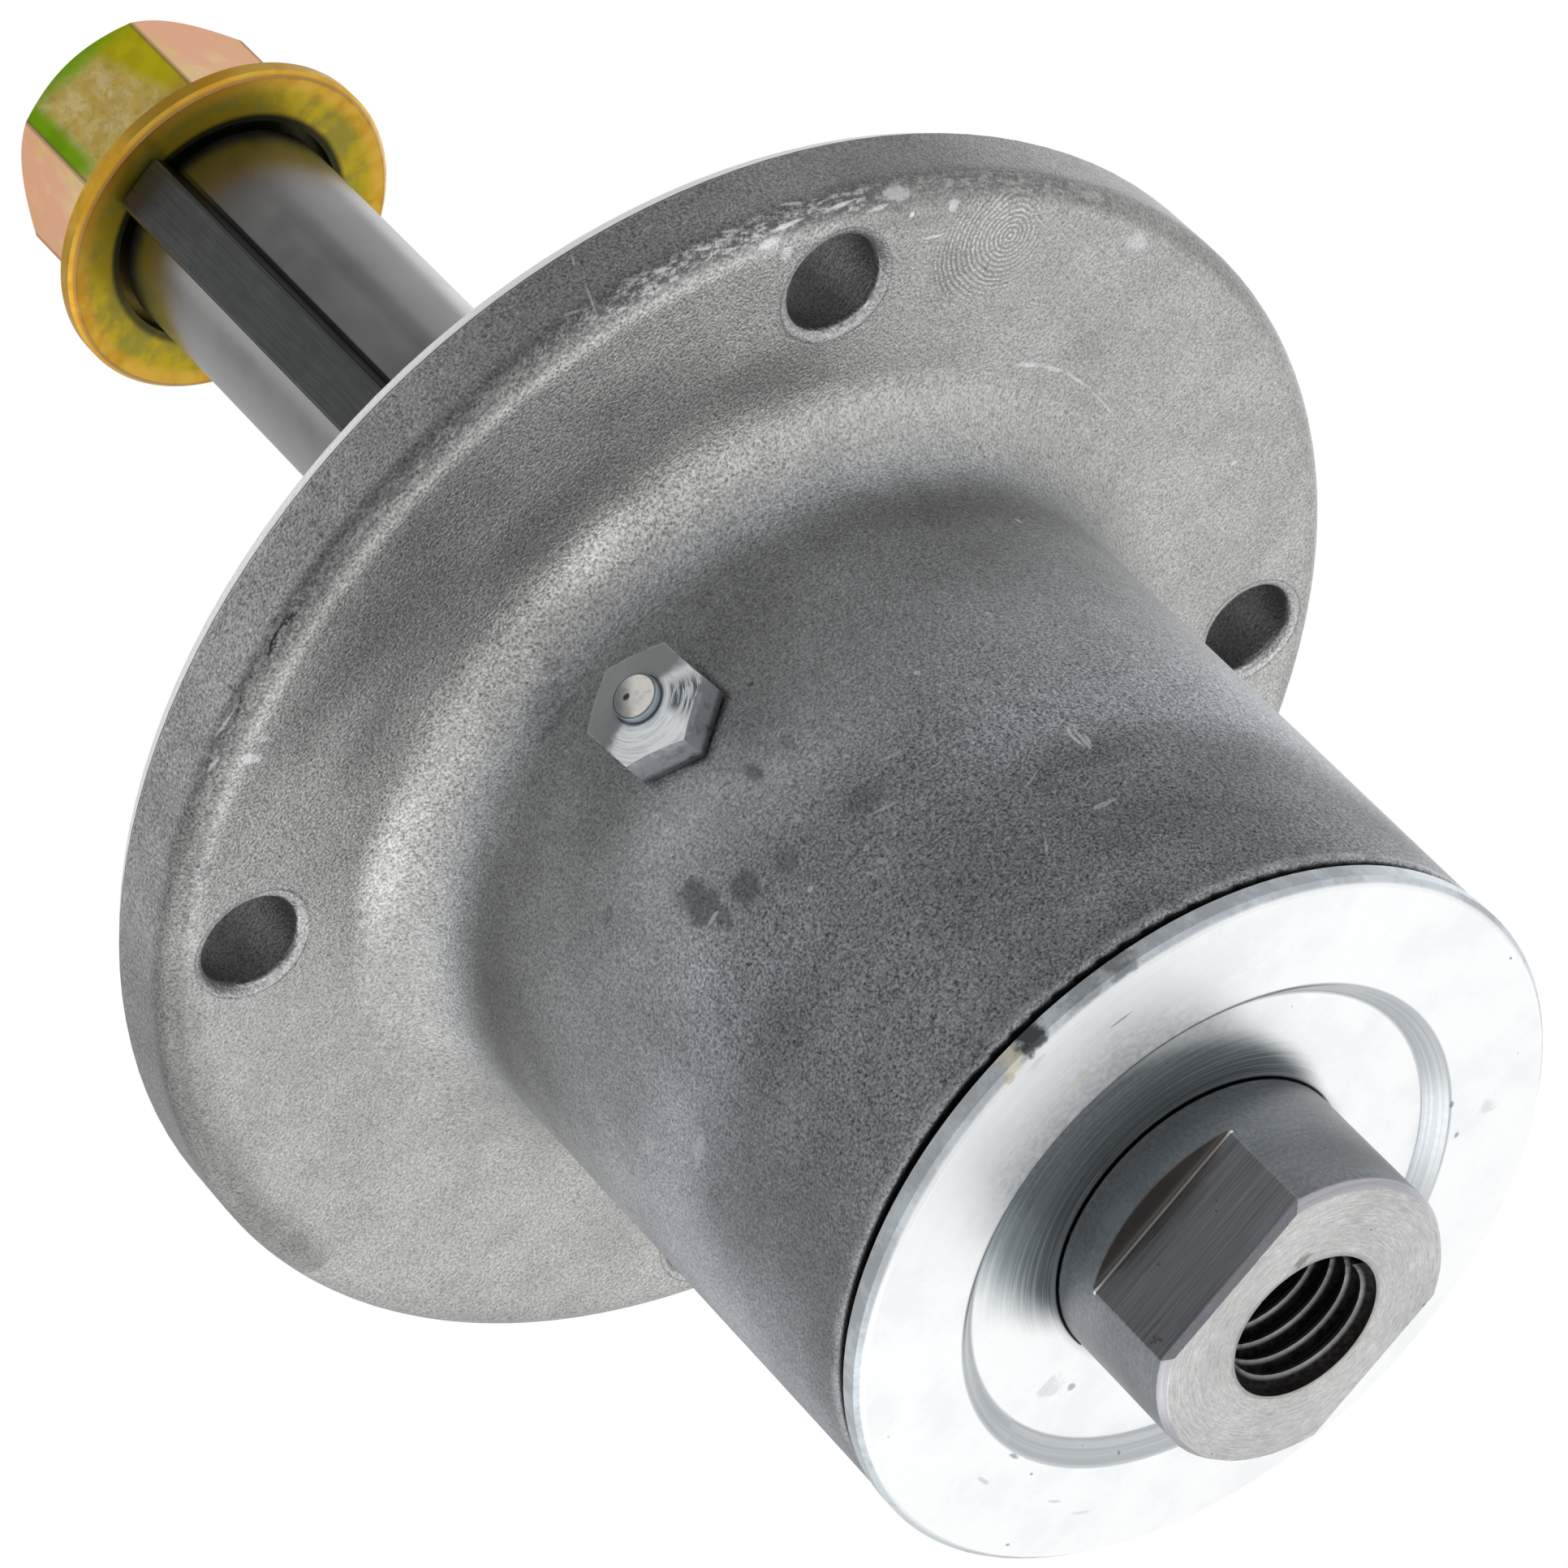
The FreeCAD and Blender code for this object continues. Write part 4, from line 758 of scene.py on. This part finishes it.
def yellowZincNut():
    f = Finish("yellow_zinc", Metallic=0.85).survey()
    cloud = f.noise(f.here, 0.30, 3, 0.6)
    fleck = f.noise(f.here, 0.9, 3, 0.6)
    hexagon = f.span(f.z, 97.4, yellowZinc["hexagonFoot"]) * f.span(f.radius, 16.6, 15.8)
    # flange: gold rim, brown edge, then olive to dark towards the shaft
    under = f.span(f.z, 97.0, 96.0)
    colour = f.mix(f.span(cloud, 0.35, 0.65), yellowZinc["gold"], yellowZinc["orange"])
    inner = f.span(f.radius, *yellowZinc["innerCone"]) * under
    olive = f.mix(f.span(cloud, 0.42, 0.62), yellowZinc["olive"], yellowZinc["moss"])
    colour = f.mix(inner * 0.8, colour, olive)
    line = f.band(f.radius + 0.15 * cloud, *yellowZinc["rimRing"], 0.3) * f.span(f.z, 95.3, 95.0)
    colour = f.mix(line * 0.75, colour, yellowZinc["rimLine"])
    counterbore = f.span(f.radius, *yellowZinc["counterbore"]) * f.span(f.z, 97.9, 97.6)
    colour = f.mix(counterbore * f.span(abs(f.angle), 168, 125, 0.85, 1.0), colour, yellowZinc["shade"])
    # the six flats: the near and far ones tan and green, those between salmon
    turned = (f.angle - yellowZinc["nearFace"]) * math.radians(1)
    thrice = turned * 3
    wave = thrice.maths("COSINE", thrice)
    salmonSide = f.span(wave, 0.03, -0.03)
    sideways = turned.maths("SINE", turned) * f.radius
    rise = f.z - yellowZinc["hexagonFoot"] + 3 * (cloud - 0.5)
    streaks = f.noise(f.vector(sideways * 1.2, 0.0, f.z * 0.6), 0.5, 4, 0.65)
    face = f.mix(f.span(streaks, 0.40, 0.68) * 0.8, yellowZinc["tan"], yellowZinc["cream"])
    face = f.mix(f.span(fleck, 0.45, 0.75) * 0.45, face, yellowZinc["olive"])
    lime = f.span(sideways + 0.25 * rise, 5.0, 7.6) * f.span(rise, 1, 5)
    face = f.mix(lime, face, yellowZinc["lime"])
    face = f.mix(f.span(sideways, 4.0, 6.8) * f.span(rise, 7, 2), face, yellowZinc["gold"])
    green = f.either(f.span(rise, 14.0, 18.0), f.span(sideways, -4.4, -6.6) * f.span(rise, 1, 6))
    face = f.mix(green, face, yellowZinc["green"])
    salmon = f.mix(f.span(cloud + 0.03 * (106 - f.z), 0.30, 0.85), yellowZinc["salmon"], yellowZinc["cream"])
    limed = f.band(wave, -0.5, 0.05, 0.5) * f.span(cloud, 0.35, 0.85) * 0.4
    salmon = f.mix(limed, salmon, yellowZinc["lime"])
    face = f.mix(salmonSide, face, salmon)
    colour = f.mix(hexagon, colour, face)
    crease = f.band(wave, -0.09, 0.05, 0.06) * hexagon
    colour = f.mix(crease * 0.55, colour, yellowZinc["rimLine"])
    f.feed(Base_Color=colour, Normal=f.bump(fleck, 0.15, 0.03),
           Roughness=0.28 + 0.2 * f.span(cloud, 0.3, 0.7))
    return f


paint(yellowZincNut(), "pulley_nut")


def lockingNylon():
    f = Finish("locking_nylon", Roughness=0.45, Specular_IOR_Level=0.4).survey()
    cloud = f.noise(f.here, 0.8, 3, 0.5)
    f.feed(Base_Color=f.mix(f.span(cloud, 0.3, 0.7), (0.72, 0.70, 0.62, 1), (0.80, 0.79, 0.73, 1)),
           Normal=f.bump(cloud, 0.2, 0.03))
    return f


paint(lockingNylon(), "nut_locking_ring")
print("nut finished")


# relief valve: bright zinc with a coned top
valveZinc = dict(side=(0.40, 0.42, 0.445, 1), soft=(0.52, 0.54, 0.555, 1), bright=(0.90, 0.93, 0.95, 1),
                 streak=(0.03, 0.045, 0.07, 1), button=(1.0, 0.97, 0.90, 1), pit=(0.02, 0.02, 0.02, 1),
                 dull=(0.66, 0.70, 0.73, 1), collar=(0.36, 0.41, 0.455, 1), firstFlat=3,
                 topFace=(-42, -42.5), buttonFace=(-43.6, -43.9), buttonEdge=(2.5, 2.35))


def valveFinish():
    f = Finish("valve_zinc").survey(marked=True)
    # measured from the valve's own axis
    drop = f.z - valveHeight
    away = (f.x * f.x + drop * drop) ** 0.5
    turned = drop.maths("ARCTAN2", drop, f.x) * math.degrees(1)
    rings = f.noise(f.vector(away * 5, f.y * 5, turned * 0.02), 1.0, 3, 0.7)
    cloud = f.noise(f.here, 0.7, 3, 0.6)
    top = f.span(f.hexagon(f.x, drop, valveZinc["firstFlat"]), 5.47, 5.42)
    top = top * f.span(f.y, *valveZinc["topFace"])
    button = f.span(away, *valveZinc["buttonEdge"]) * f.span(f.y, *valveZinc["buttonFace"])
    # painted highlight: the cone is painted bright on its lower right half
    litFrom = turned + 26 * (cloud - 0.5) + 12 * (rings - 0.5)
    lit = f.band(litFrom, -172, -2, 18) * top * (1 - button)
    colour = f.mix(top, valveZinc["side"], valveZinc["soft"])
    brushed = f.mix(f.span(rings, 0.38, 0.55), valveZinc["dull"], valveZinc["bright"])
    colour = f.mix(lit, colour, brushed)
    streaks = f.band(turned, -66, -22, 22) * f.span(rings, 0.42, 0.52) * f.span(away, 3.0, 3.4) * lit
    colour = f.mix(streaks * 0.9, colour, valveZinc["streak"])
    slant = f.x - drop * 0.7 + 1.6 * (cloud - 0.5)
    # painted light and shade: the button is painted bright on its lower right side and grey on its upper left
    cap = f.mix(f.span(slant, -2.4, 0.3), valveZinc["soft"], valveZinc["button"])
    cap = f.mix(f.span(cloud, 0.52, 0.62) * 0.35, cap, valveZinc["side"])
    cap = f.mix(f.span(away, 2.2, 2.26), cap, valveZinc["collar"])
    colour = f.mix(button, colour, cap)
    # painted shade: dark rings in the gap round the button and at the button's edge
    rim = f.either(f.band(away, 2.42, 2.62, 0.12) * top, f.band(away, 2.15, 2.30, 0.08) * button)
    colour = f.mix(rim * 0.75, colour, valveZinc["streak"])
    pit = f.spot(f.vector(f.x, f.z), (-0.55, -28.9), (0.5, 0.42), 0.8) * f.span(f.y, -44.3, -44.6)
    colour = f.mix(pit * 0.9, colour, valveZinc["pit"])
    # painted highlight in a broken bright line round the top's edge, and painted contact shade where the body
    # meets the casting, with dark mottled dirt on the sides
    edge = f.band(f.hexagon(f.x, drop, valveZinc["firstFlat"]), 5.36, 5.5, 0.06)
    edge = edge * f.span(f.y, *valveZinc["topFace"])
    colour = f.mix(edge * f.span(cloud, 0.35, 0.55) * 0.6, colour, valveZinc["bright"])
    grimeAndShade = f.span(f.y + 0.8 * (cloud - 0.5), -40.4, -39.6) + 0.5 * f.span(cloud, 0.5, 0.65) * (1 - top)
    colour = f.mix(grimeAndShade * 0.7 * f.span(away, 5, 5.2), colour, valveZinc["pit"])
    shine = f.either(lit, button * f.span(slant, -2.2, 0.5) * f.span(away, 2.26, 2.2))
    surface = f.bump(rings, 0.25, 0.02)
    surface = f.bump(cloud, 0.2, 0.02, surface)
    f.feed(Base_Color=colour, Normal=surface, Metallic=1 - 0.7 * shine,
           Roughness=0.30 + 0.15 * f.span(cloud, 0.3, 0.7))
    return f


paint(valveFinish(), "relief_valve_body", "relief_valve_poppet")


# pieces inside: bearings, spacer and valve spring
def groundSteel(name, level, rough, tint=0.0, ringScale=6):
    f = Finish(name, Metallic=1.0, Roughness=rough).survey()
    rings = f.noise(f.vector(f.radius * ringScale, f.angle * 0.02, f.z * ringScale), 1.0, 2, 0.5)
    cloud = f.noise(f.here, 0.4, 3, 0.5)
    tone = f.span(rings, 0.3, 0.7, 0.9, 1.06)
    colour = f.toned(grey(level, tint), tone)
    f.feed(Base_Color=colour, Normal=f.bump(rings, 0.12, 0.01), Roughness=rough + 0.08 * (cloud - 0.5))
    return f


def moulded(name, colour, rough, scale):
    f = Finish(name, Roughness=rough, Specular_IOR_Level=0.4).survey()
    skin = f.noise(f.here, scale, 3, 0.55)
    dark = tuple(part * 0.8 for part in colour[:3]) + (1,)
    f.feed(Base_Color=f.mix(f.span(skin, 0.3, 0.7), dark, colour), Normal=f.bump(skin, 0.25, 0.04),
           Roughness=rough + 0.15 * (skin - 0.5))
    return f


paint(groundSteel("bearing_steel", 0.62, 0.2), "lower_outer_race", "lower_inner_race",
      "upper_outer_race", "upper_inner_race")
paint(groundSteel("ball_steel", 0.72, 0.08, 0.01, 2), "lower_bearing_balls", "upper_bearing_balls")
paint(groundSteel("spacer_steel", 0.38, 0.4), "bearing_spacer")
paint(groundSteel("spring_steel", 0.45, 0.3, 0.0, 10), "relief_valve_spring")
paint(moulded("cage_plastic", (0.50, 0.44, 0.30, 1), 0.5, 1.6), "lower_ball_cage", "upper_ball_cage")
paint(moulded("seal_rubber", (0.045, 0.045, 0.05, 1), 0.6, 2.4), "lower_bearing_seal", "upper_bearing_seal")
print("inner pieces finished")

bpy.context.scene.view_settings.view_transform = "Standard"
